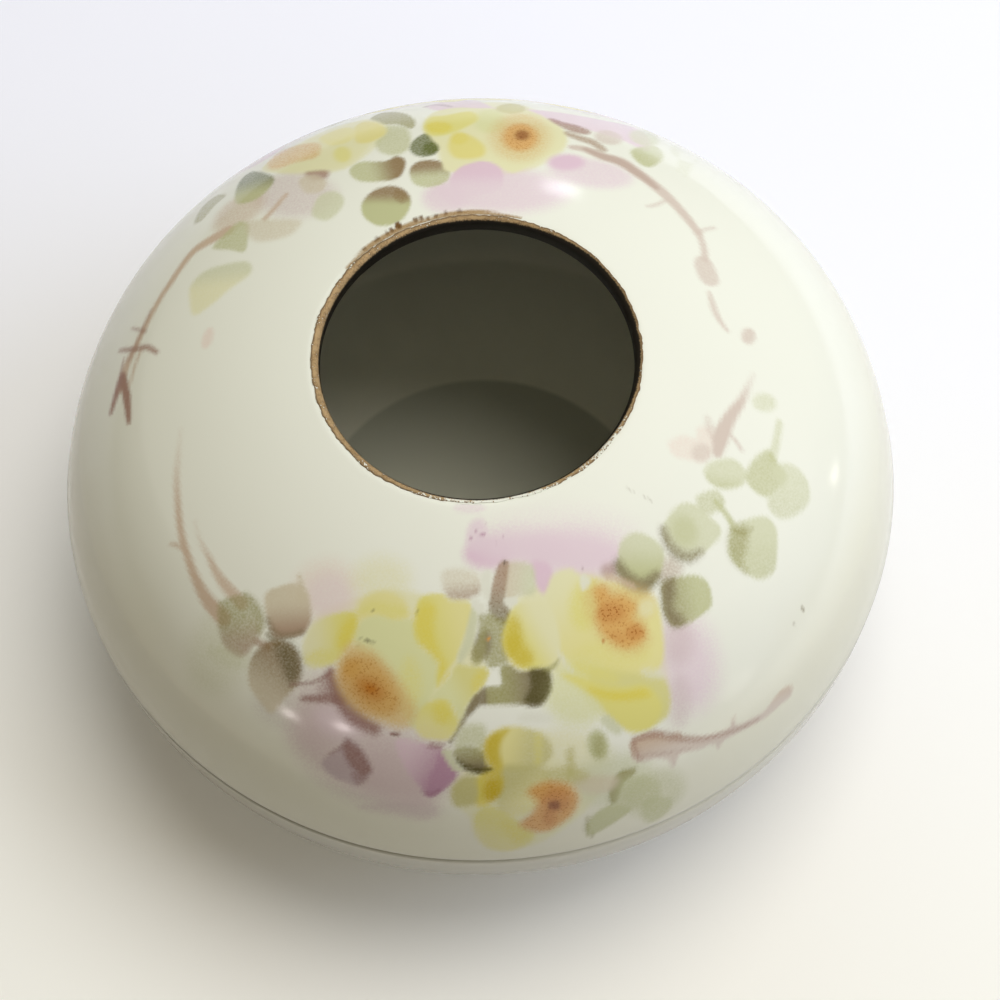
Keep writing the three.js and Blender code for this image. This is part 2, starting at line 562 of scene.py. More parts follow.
def paint(places, chart, strokes):
    """Lays every stroke on some places of the chart, and returns the layers and the grain."""
    layers = {name: Layer(len(places)) for name in LAYERS}
    grain = np.zeros(len(places))
    for stroke in strokes:
        points = smooth_run(stroke.on_chart(stroke.points, chart), not stroke.widths)
        widths = stroke.widths_along(len(points))
        feather = stroke.feather * PIXEL
        margin = feather + EDGE_REACH + widths.max()
        low, high = points.min(0) - margin, points.max(0) + margin
        who = np.flatnonzero(((places > low) & (places < high)).all(1))
        if not len(who):
            continue
        near = places[who]
        depths = stroke.depths(near, points, widths)
        layers[stroke.layer].lay(who, depths, *stroke.colours(near, chart), feather)
        cover = rise(depths, -feather / 2, feather / 2 + BLEND_REACH)
        grain[who] = np.maximum(grain[who], cover * stroke.grain)
    return layers, grain


def brush(layer, least_feather):
    """A brush that paints in one layer, with no edge sharper than `least_feather` pixels."""

    def touch(points, pigment, strength, feather, *fade, **more):
        return Stroke(layer, points, pigment, strength, max(feather, least_feather), *fade, **more)

    return touch


mist = brush("mist", 5)
stalk = brush("stalks", 5.5)
leaf = brush("leaves", 4.5)
petal = brush("petals", 5)
shade = brush("shades", 5)
heart = brush("hearts", 6)
nick = brush("nicks", 1)


def dots(pigment, strength, *ovals):
    """Small crisp ovals of one pigment."""
    return [nick(oval(*each), pigment, strength, 1) for each in ovals]


# The painting. Its strokes are in pixels of the photograph, and those of FAR_SIDE on the flat chart

CLOUDS = [
    # washes under the roses
    mist("304,650 315,618 345,600 392,588 430,594 470,602 474,640 487,670 470,705 450,738 418,728 380,716 "
         "340,668 310,664", "cream", 0.9, 9),
    mist("505,612 545,578 580,568 650,590 663,640 669,690 664,715 640,728 600,712 560,674 510,664",
         "cream", 0.9, 9),
    mist("484,738 510,726 548,734 556,760 580,772 604,778 592,802 562,828 530,845 490,847 474,820 455,800 "
         "455,780", "cream", 0.85, 12),
    mist(oval(570, 752, 40, 24, 10), "cream", 0.7, 24),
    mist(oval(612, 778, 40, 26, -10), "leaf dew", 0.7, 26),
    mist(oval(654, 792, 32, 22, -25), "leaf", 0.45, 22),
    mist("424,124 460,106 510,103 548,118 566,136 560,154 516,175 450,172 436,150", "cream", 0.8, 8),
    mist("265,166 300,143 345,124 386,124 384,140 345,170 290,175", "cream", 0.7, 8),
    mist(oval(488, 552, 24, 15), "lilac", 1.0, 14),
    mist("470,522 481,517 487,528 484,545 472,549 466,538", "pale lilac", 0.8, 8),
    mist(oval(522, 546, 46, 18, 3), "pale lilac", 0.95, 24),
    mist(oval(578, 552, 52, 24, 5), "pale lilac", 0.95, 28),
    mist(oval(560, 530, 74, 22), "pale lilac", 0.3, 36),
    mist("532,560 548,562 553,577 545,591 537,587 532,574", "lilac", 0.95, 7),
    mist(oval(470, 506, 16, 5), "pale lilac", 0.5, 6),
    mist(oval(609, 569, 9, 7), "rust stalk", 0.6, 9),
    mist(oval(688, 662, 28, 46, -8), "pale lilac", 0.8, 40),
    mist(oval(676, 640, 16, 24), "grey mauve", 0.55, 24),
    mist(oval(678, 700, 12, 26), "grey mauve", 0.5, 20),
    mist(oval(667, 568, 14, 12), "dark stalk", 0.5, 14),
    mist(oval(328, 590, 32, 30), "peach", 0.7, 28),
    mist(oval(330, 594, 22, 22), "pale lilac", 0.35, 20),
    mist(oval(222, 650, 30, 44, 20), "leaf dew", 0.35, 36),
    # lower left
    mist("292,694 332,668 352,700 400,722 440,740 456,775 440,796 428,812 380,806 330,784 296,745",
         "grey mauve", 0.75, 44),
    mist("395,800 430,799 437,813 420,818 395,812 358,806", "grey mauve", 0.5, 14),
    mist(oval(396, 772, 46, 26, 14), "grey mauve", 0.6, 34),
    mist(oval(316, 728, 26, 22), "grey mauve", 0.5, 30),
    mist(oval(276, 706, 22, 16, 35), "warm grey", 0.5, 26),
    mist(oval(340, 720, 26, 16, 20), "pale lilac", 0.5, 20),
    # back
    mist("428,106 470,100 510,98 550,101 590,108 625,117 655,128 640,130 600,120 560,113 520,109 470,109 "
         "440,111", "pale lilac", 0.9, 6),
    mist("426,107 438,105 450,107", "slate mauve", 0.8, 5, widths=(7, 9, 6)),
    mist(oval(500, 192, 70, 22), "pale lilac", 0.8, 26),
    mist(oval(590, 174, 42, 14, 8), "pale lilac", 0.7, 18),
    mist(oval(566, 163, 18, 8), "lilac", 1.0, 12),
    mist("430,106 500,97 560,102 540,112 500,111 450,113", "pale lilac", 0.9, 6),
    mist(oval(295, 196, 42, 22), "grey mauve", 0.5, 24),
    mist(oval(240, 212, 30, 14, -35), "stalk", 0.55, 18),
    mist(oval(318, 174, 12, 7), "rust stalk", 0.8, 9),
    mist(oval(445, 200, 22, 14), "pale lilac", 0.7, 16),
]

STEMS = [
    stalk("182,428 180,450 178,475 179,500 182,530 189,556 197,578 209,600 224,616",
          "stalk", 0.95, 4, ("181,530 180,430", "stalk", 0.15), widths=(3, 6, 7, 7, 7, 8, 10, 14, 17)),
    stalk("172,543 178,544 186,549", "stalk", 0.7, 2, widths=(3, 5, 4)),
    stalk("196,520 201,538 210,556 218,572 228,586 243,602",
          "stalk", 0.85, 4, ("214,566 198,525", "stalk", 0.2), widths=(3, 4, 5, 8, 11, 13)),
    stalk("300,574 302,584 303,596", "tan", 0.8, 3, widths=(3, 5, 8)),
    stalk("257,640 268,645", "dark stalk", 0.8, 3, widths=(6, 8)),
    stalk("270,634 277,640", "leaf shade", 0.7, 3, widths=(7, 9)),
    # left back
    stalk("229,231 212,240 195,251 182,267 172,282 162,297 152,315 142,335 135,350 127,367 121,388",
          "stalk", 0.95, 4, widths=(16, 14, 11, 9, 9, 8, 8, 8, 9, 11, 12)),
    stalk("123,376 118,392 112,412", "rust stalk", 0.95, 3, widths=(10, 10, 6)),
    stalk("124,378 128,398 130,421", "rust stalk", 0.95, 3, widths=(10, 11, 6)),
    stalk("142,350 136,366 131,384", "stalk", 0.8, 3, widths=(4, 4, 3)),
    stalk("121,350 135,349 148,347 158,352", "rust stalk", 0.75, 3, widths=(5, 7, 7, 5)),
    stalk("133,328 146,331", "rust stalk", 0.6, 3, widths=(3, 5)),
    stalk("125,358 121,376 116,398", "rust stalk", 0.6, 4, widths=(3, 5, 3)),
    stalk("152,310 140,338 130,360", "rust stalk", 0.4, 4, widths=(4, 6, 5)),
    # right back
    stalk("572,148 585,150 602,157 620,162 635,172 650,183 663,194 676,207 688,221 697,233",
          "pink stalk", 0.95, 5, widths=(9, 12, 15, 16, 16, 15, 14, 12, 11, 9)),
    stalk("585,150 602,157 620,163 640,176 655,188", "rust stalk", 0.4, 6, widths=(7, 12, 14, 12, 7)),
    stalk("697,233 702,246 704,260", "pink stalk", 0.85, 4, widths=(8, 7, 8)),
    stalk("693,262 700,256 710,262 716,275 717,284 707,286 698,278", "pink stalk", 0.75, 5),
    stalk("708,293 712,307 718,320 726,331", "pink stalk", 0.8, 3, widths=(4, 7, 6, 3)),
    stalk("647,207 656,205 666,200", "pink stalk", 0.6, 3, widths=(4, 5, 4)),
    stalk("700,231 713,228", "pink stalk", 0.6, 3, widths=(5, 4)),
    stalk("551,121 562,125 574,129 584,132", "rust stalk", 0.8, 6, widths=(11, 13, 19, 14)),
    stalk("566,134 580,139 592,143 602,150", "dark stalk", 0.75, 6, widths=(9, 12, 13, 10)),
    # right, over the leaves
    stalk("752,374 746,388 739,402 731,413 723,427 719,438 716,452",
          "pink stalk", 1.0, 3, ("735,405 752,374", "pink stalk", 0.25), widths=(5, 7, 9, 12, 15, 16, 10)),
    stalk("706,418 709,428 716,440", "pink stalk", 0.45, 7, widths=(6, 10, 12)),
    stalk("725,430 734,440 740,449", "pink stalk", 0.7, 3, widths=(3, 4, 4)),
    mist("667,442 681,435 694,437 696,428 707,426 716,436 714,450 701,461 687,459 673,455", "peach", 0.6, 8),
    mist(oval(700, 452, 10, 9), "pink stalk", 0.6, 8),
    stalk("778,422 775,440 771,458", "leaf dew", 0.7, 6, widths=(7, 8, 10)),
    # right front
    stalk("630,741 638,735 655,730 667,735 677,731 684,736 700,736 718,732 729,726 733,715 737,724 "
          "752,717 764,710 773,698 782,688 791,685 791,694 780,704 766,716 752,724 737,732 723,740 "
          "719,747 712,743 700,748 684,751 678,755 673,767 668,759 656,757 644,760 633,758",
          "stalk", 0.95, 4, ("650,735 655,757", "pink stalk", 0.9)),
    shade("634,738 655,733 676,736 700,738 722,733 740,727 758,718",
          "rust stalk", 0.6, 6, widths=(6, 9, 8, 6, 5, 4, 3)),
    shade("633,742 636,752 640,758", "rust stalk", 0.5, 5, widths=(6, 8, 4)),
    shade("645,753 665,752 690,747", "rust stalk", 0.35, 4, widths=(3, 3, 2)),
]

LEAVES = [
    # left
    leaf("219,603 224,599 236,594 247,594 256,603 262,617 261,632 252,647 241,656 226,646 220,628",
         "leaf olive", 0.6, 6, ("240,608 243,650", "dark stalk", 0.75)),
    shade("246,592 256,602 262,617 261,630", "leaf olive", 0.5, 6, widths=(4, 7, 8, 6)),
    leaf("266,594 280,585 298,582 309,592 312,612 311,622 303,633 290,636 277,636 269,622",
         "tan", 0.9, 5, ("288,596 290,634", "dark stalk", 1.0)),
    leaf("274,639 290,641 301,656 300,680 286,696 272,712 262,702 250,684 250,662 259,647",
         "leaf brown", 0.8, 5, ("284,655 260,700", "tan", 0.8)),
    shade("282,640 292,642 301,656 300,674 290,682 282,664 276,648", "leaf night", 0.55, 14),
    shade("268,618 277,633 290,634 303,630", "leaf shade", 0.6, 7, widths=(4, 7, 6, 5)),
    leaf(oval(228, 655, 20, 10, 20), "leaf dew", 0.4, 14),
    # middle
    leaf("442,571 460,567 478,573 481,588 471,596 456,598 446,592",
         "tan", 0.5, 8, ("460,576 462,596", "dark stalk", 0.75)),
    leaf("504,564 516,560 532,564 535,577 534,592 520,594 506,597 503,580",
         "tan", 0.8, 6, ("508,578 532,580", "leaf dew", 0.8)),
    leaf("502,559 508,560 508,571 506,584 505,598 511,610 509,622 496,619 489,608 489,599 492,582 496,568",
         "dark stalk", 0.9, 3, ("500,575 500,618", "leaf shade", 0.8), grain=0.3),
    leaf("485,612 498,616 509,622 505,640 508,658 500,664 487,664 484,640", "leaf olive", 0.75, 5),
    leaf("474,640 480,630 490,632 491,647 483,658 472,656", "leaf shade", 0.75, 8),
    leaf("478,612 484,614 486,640 484,658 474,664 472,650 478,634", "leaf olive", 0.7, 6),
    leaf("519,669 533,667 547,668 551,679 550,691 543,702 533,705 519,703 501,703 485,702 486,686 501,683 "
         "500,667 508,662", "leaf olive", 0.9, 3, ("500,690 535,688", "leaf shade", 0.95)),
    shade("530,668 547,669 551,680 549,692 541,702 530,703 524,697 530,686", "leaf night", 0.85, 7),
    leaf("545,668 553,664 558,657", "leaf olive", 0.9, 3, widths=(7, 5, 2)),
    leaf("485,685 476,692 468,706 469,713 480,704 487,702", "leaf shade", 0.9, 3),
    stalk("476,696 467,712 459,726 450,741", "leaf shade", 0.85, 3, widths=(7, 5, 4, 3)),
    # below
    leaf("453,750 468,744 484,750 487,762 492,767 482,771 470,768 458,762",
         "leaf olive", 0.8, 4, ("472,746 474,768", "leaf shade", 1.0)),
    shade("456,759 466,766 480,769 492,767", "leaf night", 0.9, 3, widths=(3, 6, 7, 2)),
    leaf("462,726 484,724 486,748 470,744 455,748", "leaf", 0.65, 10),
    leaf("588,734 598,728 607,738 607,754 598,758 589,750", "leaf", 0.9, 8),
    shade(oval(598, 745, 6, 11), "leaf olive", 0.5, 9),
    leaf("609,788 614,776 622,769 636,767 632,775 624,782 620,792 615,803 609,800", "leaf olive", 0.85, 5),
    leaf("620,782 640,774 660,782 656,800 636,808 617,806", "leaf", 0.6, 10),
    leaf("588,821 598,810 614,803 631,808 620,818 604,828 590,835 586,828", "leaf", 0.9, 6),
    shade("588,816 587,828 592,836", "leaf olive", 0.5, 6, widths=(5, 6, 4)),
    leaf("642,805 652,796 671,798 667,812 650,822 642,816", "leaf", 0.7, 7),
    # right
    leaf("703,468 713,460 731,458 743,468 743,482 727,488 715,486 705,478",
         "leaf dew", 0.8, 6, ("722,470 722,488", "leaf", 0.8)),
    leaf("745,470 755,456 768,449 776,462 786,476 776,490 765,496 753,490 745,480", "leaf", 0.75, 6),
    leaf("771,466 791,464 806,480 808,499 798,512 781,518 769,510 767,498 779,486",
         "leaf dew", 0.7, 6, ("785,480 780,512", "leaf", 0.5)),
    leaf("695,496 707,490 717,490 724,502 715,511 705,514 697,506", "leaf", 0.6, 5),
    stalk("714,500 724,512 733,526", "leaf", 0.8, 4, widths=(5, 6, 7)),
    leaf("731,526 747,518 765,516 775,528 776,550 773,570 759,578 745,572 733,562 727,550 728,536",
         "leaf dew", 0.9, 5, ("750,530 756,572", "leaf", 0.7)),
    shade("729,528 744,524 747,540 742,560 746,572 733,562 727,548", "leaf olive", 0.55, 12),
    shade("731,528 742,532 751,527", "leaf olive", 0.6, 4, widths=(3, 5, 2)),
    leaf("661,528 669,512 681,502 695,504 706,514 718,524 719,535 709,546 699,554 687,559 675,554 665,541",
         "leaf dew", 0.85, 4),
    leaf(oval(683, 530, 13, 16, -20), "leaf", 0.6, 14),
    shade("662,529 667,542 676,552 688,556 700,550", "leaf shade", 0.65, 10, widths=(8, 10, 12, 11, 5)),
    leaf("617,556 620,540 634,531 653,538 663,551 660,570 653,582 643,588 630,582 617,570",
         "leaf dew", 0.9, 5, ("638,538 638,576", "leaf", 1.0)),
    shade("617,562 626,577 642,584 656,574", "leaf shade", 0.85, 11, widths=(8, 14, 15, 8)),
    leaf("661,582 675,576 695,574 707,582 711,602 703,612 687,622 673,625 664,614 661,598",
         "leaf", 0.9, 4, ("700,600 668,604", "leaf olive", 0.8)),
    shade("661,582 672,577 674,592 672,606 684,620 673,625 664,614 661,598", "leaf shade", 0.85, 12),
    mist(oval(763, 402, 12, 9, 10), "leaf dew", 0.6, 8),
    mist(oval(747, 336, 7, 8), "pink stalk", 0.8, 6),
    # back right
    leaf("630,153 640,147 656,147 663,157 652,167 640,165",
         "leaf", 0.85, 6, ("640,160 655,150", "leaf dew", 0.8)),
    leaf(oval(644, 138, 15, 8, 12), "leaf dew", 0.7, 8),
    leaf(oval(684, 154, 15, 7, 25), "leaf dew", 0.3, 8),
    leaf(oval(608, 138, 14, 7, 10), "pink stalk", 0.7, 8),
    # back left
    leaf("370,120 382,113 402,113 415,121 412,129 397,125 380,125", "leaf olive", 0.8, 4),
    leaf("377,132 390,126 408,130 410,148 395,156 378,150", "leaf", 0.7, 8),
    leaf("415,140 427,134 437,140 441,147 433,156 418,157 410,150", "moss", 0.8, 5),
    shade(oval(431, 149, 8, 6), "moss", 0.7, 6),
    leaf("385,162 397,157 406,162 401,177 385,182 360,182 350,172 360,163",
         "leaf brown", 0.95, 4, ("398,166 366,174", "leaf", 0.85)),
    leaf("410,171 420,162 440,162 450,172 447,182 432,188 415,185",
         "leaf brown", 0.9, 4, ("430,166 430,180", "leaf", 0.8)),
    leaf("365,200 377,190 395,187 409,195 411,207 401,222 381,227 367,220 362,210",
         "leaf brown", 0.9, 4, ("388,193 384,208", "leaf", 1.0)),
    shade(oval(401, 197, 8, 6, 40), "leaf brown", 0.6, 6),
    shade(oval(380, 213, 13, 9), "leaf", 0.5, 8),
    leaf("320,197 335,192 345,200 340,212 327,221 313,215", "leaf dew", 0.8, 6),
    leaf("300,180 315,175 327,182 322,192 306,193", "tan", 0.7, 6),
    leaf("240,182 252,172 270,175 275,181 267,192 252,202 236,202",
         "moss", 0.75, 5, ("262,176 252,196", "leaf", 0.9)),
    leaf("227,195 216,205 203,220 195,223 202,208 216,196", "leaf olive", 0.6, 5),
    stalk("287,195 277,207 266,219", "stalk", 0.85, 4, widths=(5, 6, 7)),
    leaf("228,232 240,222 250,225 249,240 245,252 230,250 214,248", "leaf", 0.75, 5),
    leaf("250,222 280,220 302,222 290,236 262,242 250,236", "tan", 0.6, 10),
    leaf("192,286 205,272 225,265 248,262 252,273 230,290 211,306 195,315 191,300",
         "leaf dew", 0.8, 7, ("222,268 214,292", "cream", 0.8)),
    mist(oval(209, 338, 5, 11, 20), "peach", 0.8, 6),
]

MAUVE_LEAVES = [
    petal("322,762 334,750 344,742 346,736 352,738 362,748 371,768 366,778 356,784 346,780 334,776",
          "slate mauve", 0.85, 6),
    shade("346,738 354,742 364,752 372,768 364,774 352,766 344,752", "plum brown", 0.75, 8),
    shade("328,754 338,748 346,744", "plum brown", 0.4, 5, widths=(2, 4, 6)),
    shade("352,772 364,772 368,778 358,784", "plum brown", 0.45, 6),
    petal("396,738 421,741 441,746 449,760 457,775 432,796 420,786 404,764",
          "mauve", 0.85, 5, ("445,768 402,748", "lilac", 0.6)),
    shade("441,750 449,761 456,774 432,795 428,780 436,764", "mauve", 0.75, 6),
    shade("424,790 431,793 440,788", "deep mauve", 0.5, 4, widths=(3, 5, 3)),
    shade(oval(436, 744, 9, 3.5), "plum brown", 0.5, 5),
]

FRONT_LEFT_ROSE = [
    petal(oval(382, 578, 28, 22), "cream", 0.6, 26),
    petal("357,610 362,598 376,590 392,590 406,600 409,615 394,619 378,615 362,619", "pale lemon", 1.0, 9),
    petal("304,648 308,632 318,620 332,613 353,610 359,620 356,632 348,646 338,658 322,665 309,665",
          "soft lemon", 1.0, 6, ("346,634 308,636", "cream", 0.85)),
    petal("360,622 378,614 395,618 414,620 422,646 437,656 438,680 430,698 418,726 402,712 394,684 "
          "378,662 356,648", "green cream", 1.0, 6),
    petal("418,600 427,593 442,592 451,599 469,600 472,612 466,630 460,646 455,660 448,674 438,686 "
          "437,672 440,660 430,650 419,640 415,626",
          "soft lemon", 1.0, 5, ("425,625 466,615", "pale lemon", 1.0)),
    petal("472,606 478,612 474,638 468,652 460,662 458,654 464,638", "leaf dew", 0.9, 4),
    petal("456,663 470,664 488,668 485,680 476,690 466,704 460,718 452,704 432,698 438,688 450,676",
          "dull lemon", 1.0, 5, ("470,680 446,694", "green cream", 0.9)),
    petal("430,700 446,698 453,708 458,721 450,736 434,738 420,734 415,720 420,708",
          "soft lemon", 1.0, 6, ("443,708 430,732", "pale lemon", 0.9)),
    shade("352,614 357,618 355,632 347,645 338,644 342,626", "lemon", 0.75, 12),
    shade("306,658 318,648 334,650 334,658 322,664", "soft lemon", 0.6, 9),
    shade("358,612 372,600 390,602 404,606 406,614 392,617 376,611", "soft lemon", 0.6, 9),
    shade("417,610 425,600 436,606 434,625 438,645 446,662 446,674 440,680 439,664 431,652 419,640 415,626",
          "lemon", 0.7, 11),
    shade("479,668 487,669 484,681 475,690 472,680", "lemon", 0.5, 9),
    shade(oval(442, 711, 8, 11, -15), "lemon", 0.6, 11),
    shade("408,655 420,668 421,690 414,712 404,696 400,675", "soft lemon", 0.5, 14),
    shade("331,671 337,688 346,703 357,716 375,727", "plum brown", 0.85, 11, widths=(8, 14, 18, 18, 12)),
    shade("291,683 312,681 324,676 333,669", "plum brown", 0.7, 3, widths=(2, 3, 4, 4)),
    shade("303,697 318,697 332,697 342,698", "plum brown", 0.75, 6, widths=(5, 8, 10, 10)),
    shade("330,672 341,690 330,694 318,690 322,680", "plum brown", 0.4, 8),
    heart("350,642 372,648 392,668 408,690 416,712 404,726 384,722 364,714 346,699 336,676 341,656",
          "pale amber", 0.75, 14),
    heart("350,654 372,656 390,674 400,694 398,709 384,714 366,710 352,698 342,682 341,668",
          "amber", 0.7, 14, grain=0.5),
    heart(oval(352, 667, 9, 8), "amber", 0.5, 10, grain=0.5),
    heart(oval(371, 687, 16, 10, 35), "deep amber", 0.6, 14, grain=0.8),
    heart(oval(371, 687, 6, 4, 20), "deep amber", 0.8, 6, grain=1.0),
]

FRONT_RIGHT_ROSE = [
    petal("547,587 553,573 569,567 582,575 605,579 625,586 645,592 656,604 661,625 663,649 659,666 "
          "645,677 625,678 605,680 581,673 565,657 551,641 545,617 545,600",
          "pale lemon", 1.0, 7, ("600,630 556,578", "cream", 1.0)),
    petal(oval(578, 692, 34, 32), "green cream", 0.75, 22),
    petal("590,668 640,672 660,674 669,690 668,712 656,722 640,728 615,722 600,700", "dull lemon", 0.95, 8),
    petal("511,609 521,601 541,598 553,611 559,635 559,653 551,663 535,667 521,666 511,657 504,645 "
          "503,633 507,619", "soft lemon", 1.0, 5, ("516,640 545,622", "cream", 1.0)),
    petal("561,673 581,675 605,683 625,685 641,683 653,689 661,703 659,715 649,727 633,731 621,725 "
          "609,713 597,699 581,687", "soft lemon", 1.0, 7),
    shade("506,625 513,614 520,622 524,640 532,652 530,662 518,664 508,654 503,640", "gold", 0.7, 11),
    shade(oval(513, 643, 7, 11, 10), "gold", 0.6, 9),
    shade(oval(524, 657, 8, 6), "gold", 0.35, 8),
    shade("588,686 605,689 625,690 642,687 650,693 642,697 620,699 600,696", "lemon", 0.85, 9),
    shade(oval(585, 602, 16, 26, 10), "soft lemon", 0.7, 14),
    shade(oval(610, 655, 40, 18, -8), "soft lemon", 0.35, 14),
    shade(oval(596, 672, 24, 7, 20), "soft lemon", 0.6, 10),
    heart("588,584 620,580 648,590 652,604 644,624 650,638 636,652 612,648 596,632 584,606",
          "pale amber", 0.5, 16),
    heart("593,588 603,584 611,592 624,594 636,604 633,616 643,624 646,633 638,643 624,647 610,640 "
          "600,630 595,617 596,603", "sienna", 0.75, 12, grain=0.5),
    heart(oval(610, 611, 14, 10), "russet", 0.45, 10, grain=1.0),
    heart(oval(634, 631, 9, 7, -15), "russet", 0.5, 9, grain=0.8),
    heart(oval(617, 636, 8, 5, 30), "russet", 0.25, 8, grain=0.8),
]

BOTTOM_ROSE = [
    petal("486,738 498,728 516,725 536,730 549,740 552,753 540,765 520,769 502,768 494,762 487,752",
          "pale lemon", 1.0, 6, ("505,745 540,748", "olive cream", 0.7)),
    petal("462,776 476,775 486,784 482,800 460,806 452,800 452,786", "olive cream", 0.9, 8),
    petal("502,766 522,764 545,766 550,784 540,804 520,814 502,813 496,794",
          "olive cream", 0.85, 9, ("510,775 535,806", "pale lemon", 0.7)),
    petal("476,812 488,804 506,812 524,824 535,833 528,843 510,850 490,848 478,838 473,824",
          "soft lemon", 0.85, 8, ("510,826 490,846", "pale lemon", 0.8)),
    petal("487,738 496,730 509,727 502,739 500,751 503,764 500,773 492,767 486,760 484,748",
          "gold", 0.85, 7),
    petal("484,768 494,767 503,776 503,786 498,795 488,803 477,805 478,790 477,778",
          "gold", 0.85, 7, ("494,786 478,790", "lemon", 0.8)),
    shade(oval(492, 789, 8, 11, 20), "deep gold", 0.7, 9),
    shade("487,738 496,732 499,738 496,750 497,762 490,758 485,748", "deep gold", 0.35, 8),
    shade("538,735 538,760", "soft lemon", 0.5, 8, widths=(8, 8)),
    shade("570,750 571,772", "olive cream", 0.7, 8, widths=(8, 10)),
    shade(oval(566, 774, 22, 9), "olive cream", 0.65, 12),
    petal("572,778 590,774 618,776 610,790 585,792", "tan", 0.75, 10),
    shade("500,820 515,824 528,834 516,842", "lemon", 0.3, 10),
    heart("528,790 542,781 556,780 570,784 578,796 574,811 562,822 548,830 532,830 520,823 531,813 536,801",
          "sienna", 0.9, 12, grain=0.5),
    heart(oval(556, 799, 14, 12), "russet", 0.5, 12, grain=0.8),
    heart(oval(554, 804, 6, 5), "deep russet", 0.8, 6, grain=0.8),
    heart(oval(549, 816, 7, 8), "russet", 0.5, 9, grain=0.5),
]

BACK_ROSES = [
    petal("424,124 436,112 460,108 490,110 510,105 532,112 548,120 564,134 562,148 544,158 516,173 "
          "500,169 486,161 460,172 444,170 442,154 432,140", "cream", 1.0, 6),
    petal(oval(490, 122, 16, 12), "green cream", 0.8, 12),
    petal(oval(511, 109, 15, 5), "olive cream", 0.7, 6),
    petal("424,128 430,118 446,116 470,112 478,120 462,130 445,136 430,136", "soft lemon", 0.9, 8),
    petal("448,146 456,134 470,136 484,146 484,156 470,160 454,158", "lemon", 0.6, 9),
    shade(oval(439, 128, 13, 6), "lemon", 0.7, 9),
    shade(oval(459, 139, 9, 6), "lemon", 0.4, 8),
    heart(oval(520, 138, 30, 24), "pale amber", 0.5, 20),
    heart(oval(520, 138, 18, 14), "sienna", 0.75, 14, grain=0.5),
    heart(oval(522, 136, 7, 5), "deep russet", 0.7, 9, grain=0.8),
    petal("458,170 468,165 484,162 498,167 503,176 500,190 480,196 456,194 450,181",
          "lilac", 0.95, 5, ("484,172 484,192", "pale lilac", 0.5)),
    # left back rose
    petal("265,166 287,151 315,137 340,127 365,120 382,124 386,134 370,146 360,157 345,168 320,171 "
          "290,173 267,172", "cream", 1.0, 7),
    petal("355,128 365,122 382,125 386,134 370,143 356,142", "lemon", 0.5, 7),
    petal("320,138 345,128 356,132 350,142 330,146", "pale lemon", 0.9, 7),
    petal(oval(343, 155, 9, 8), "soft lemon", 0.7, 9),
    heart("268,164 280,152 300,145 319,144 318,157 296,163 275,170", "sienna", 0.5, 9, grain=0.2),
]

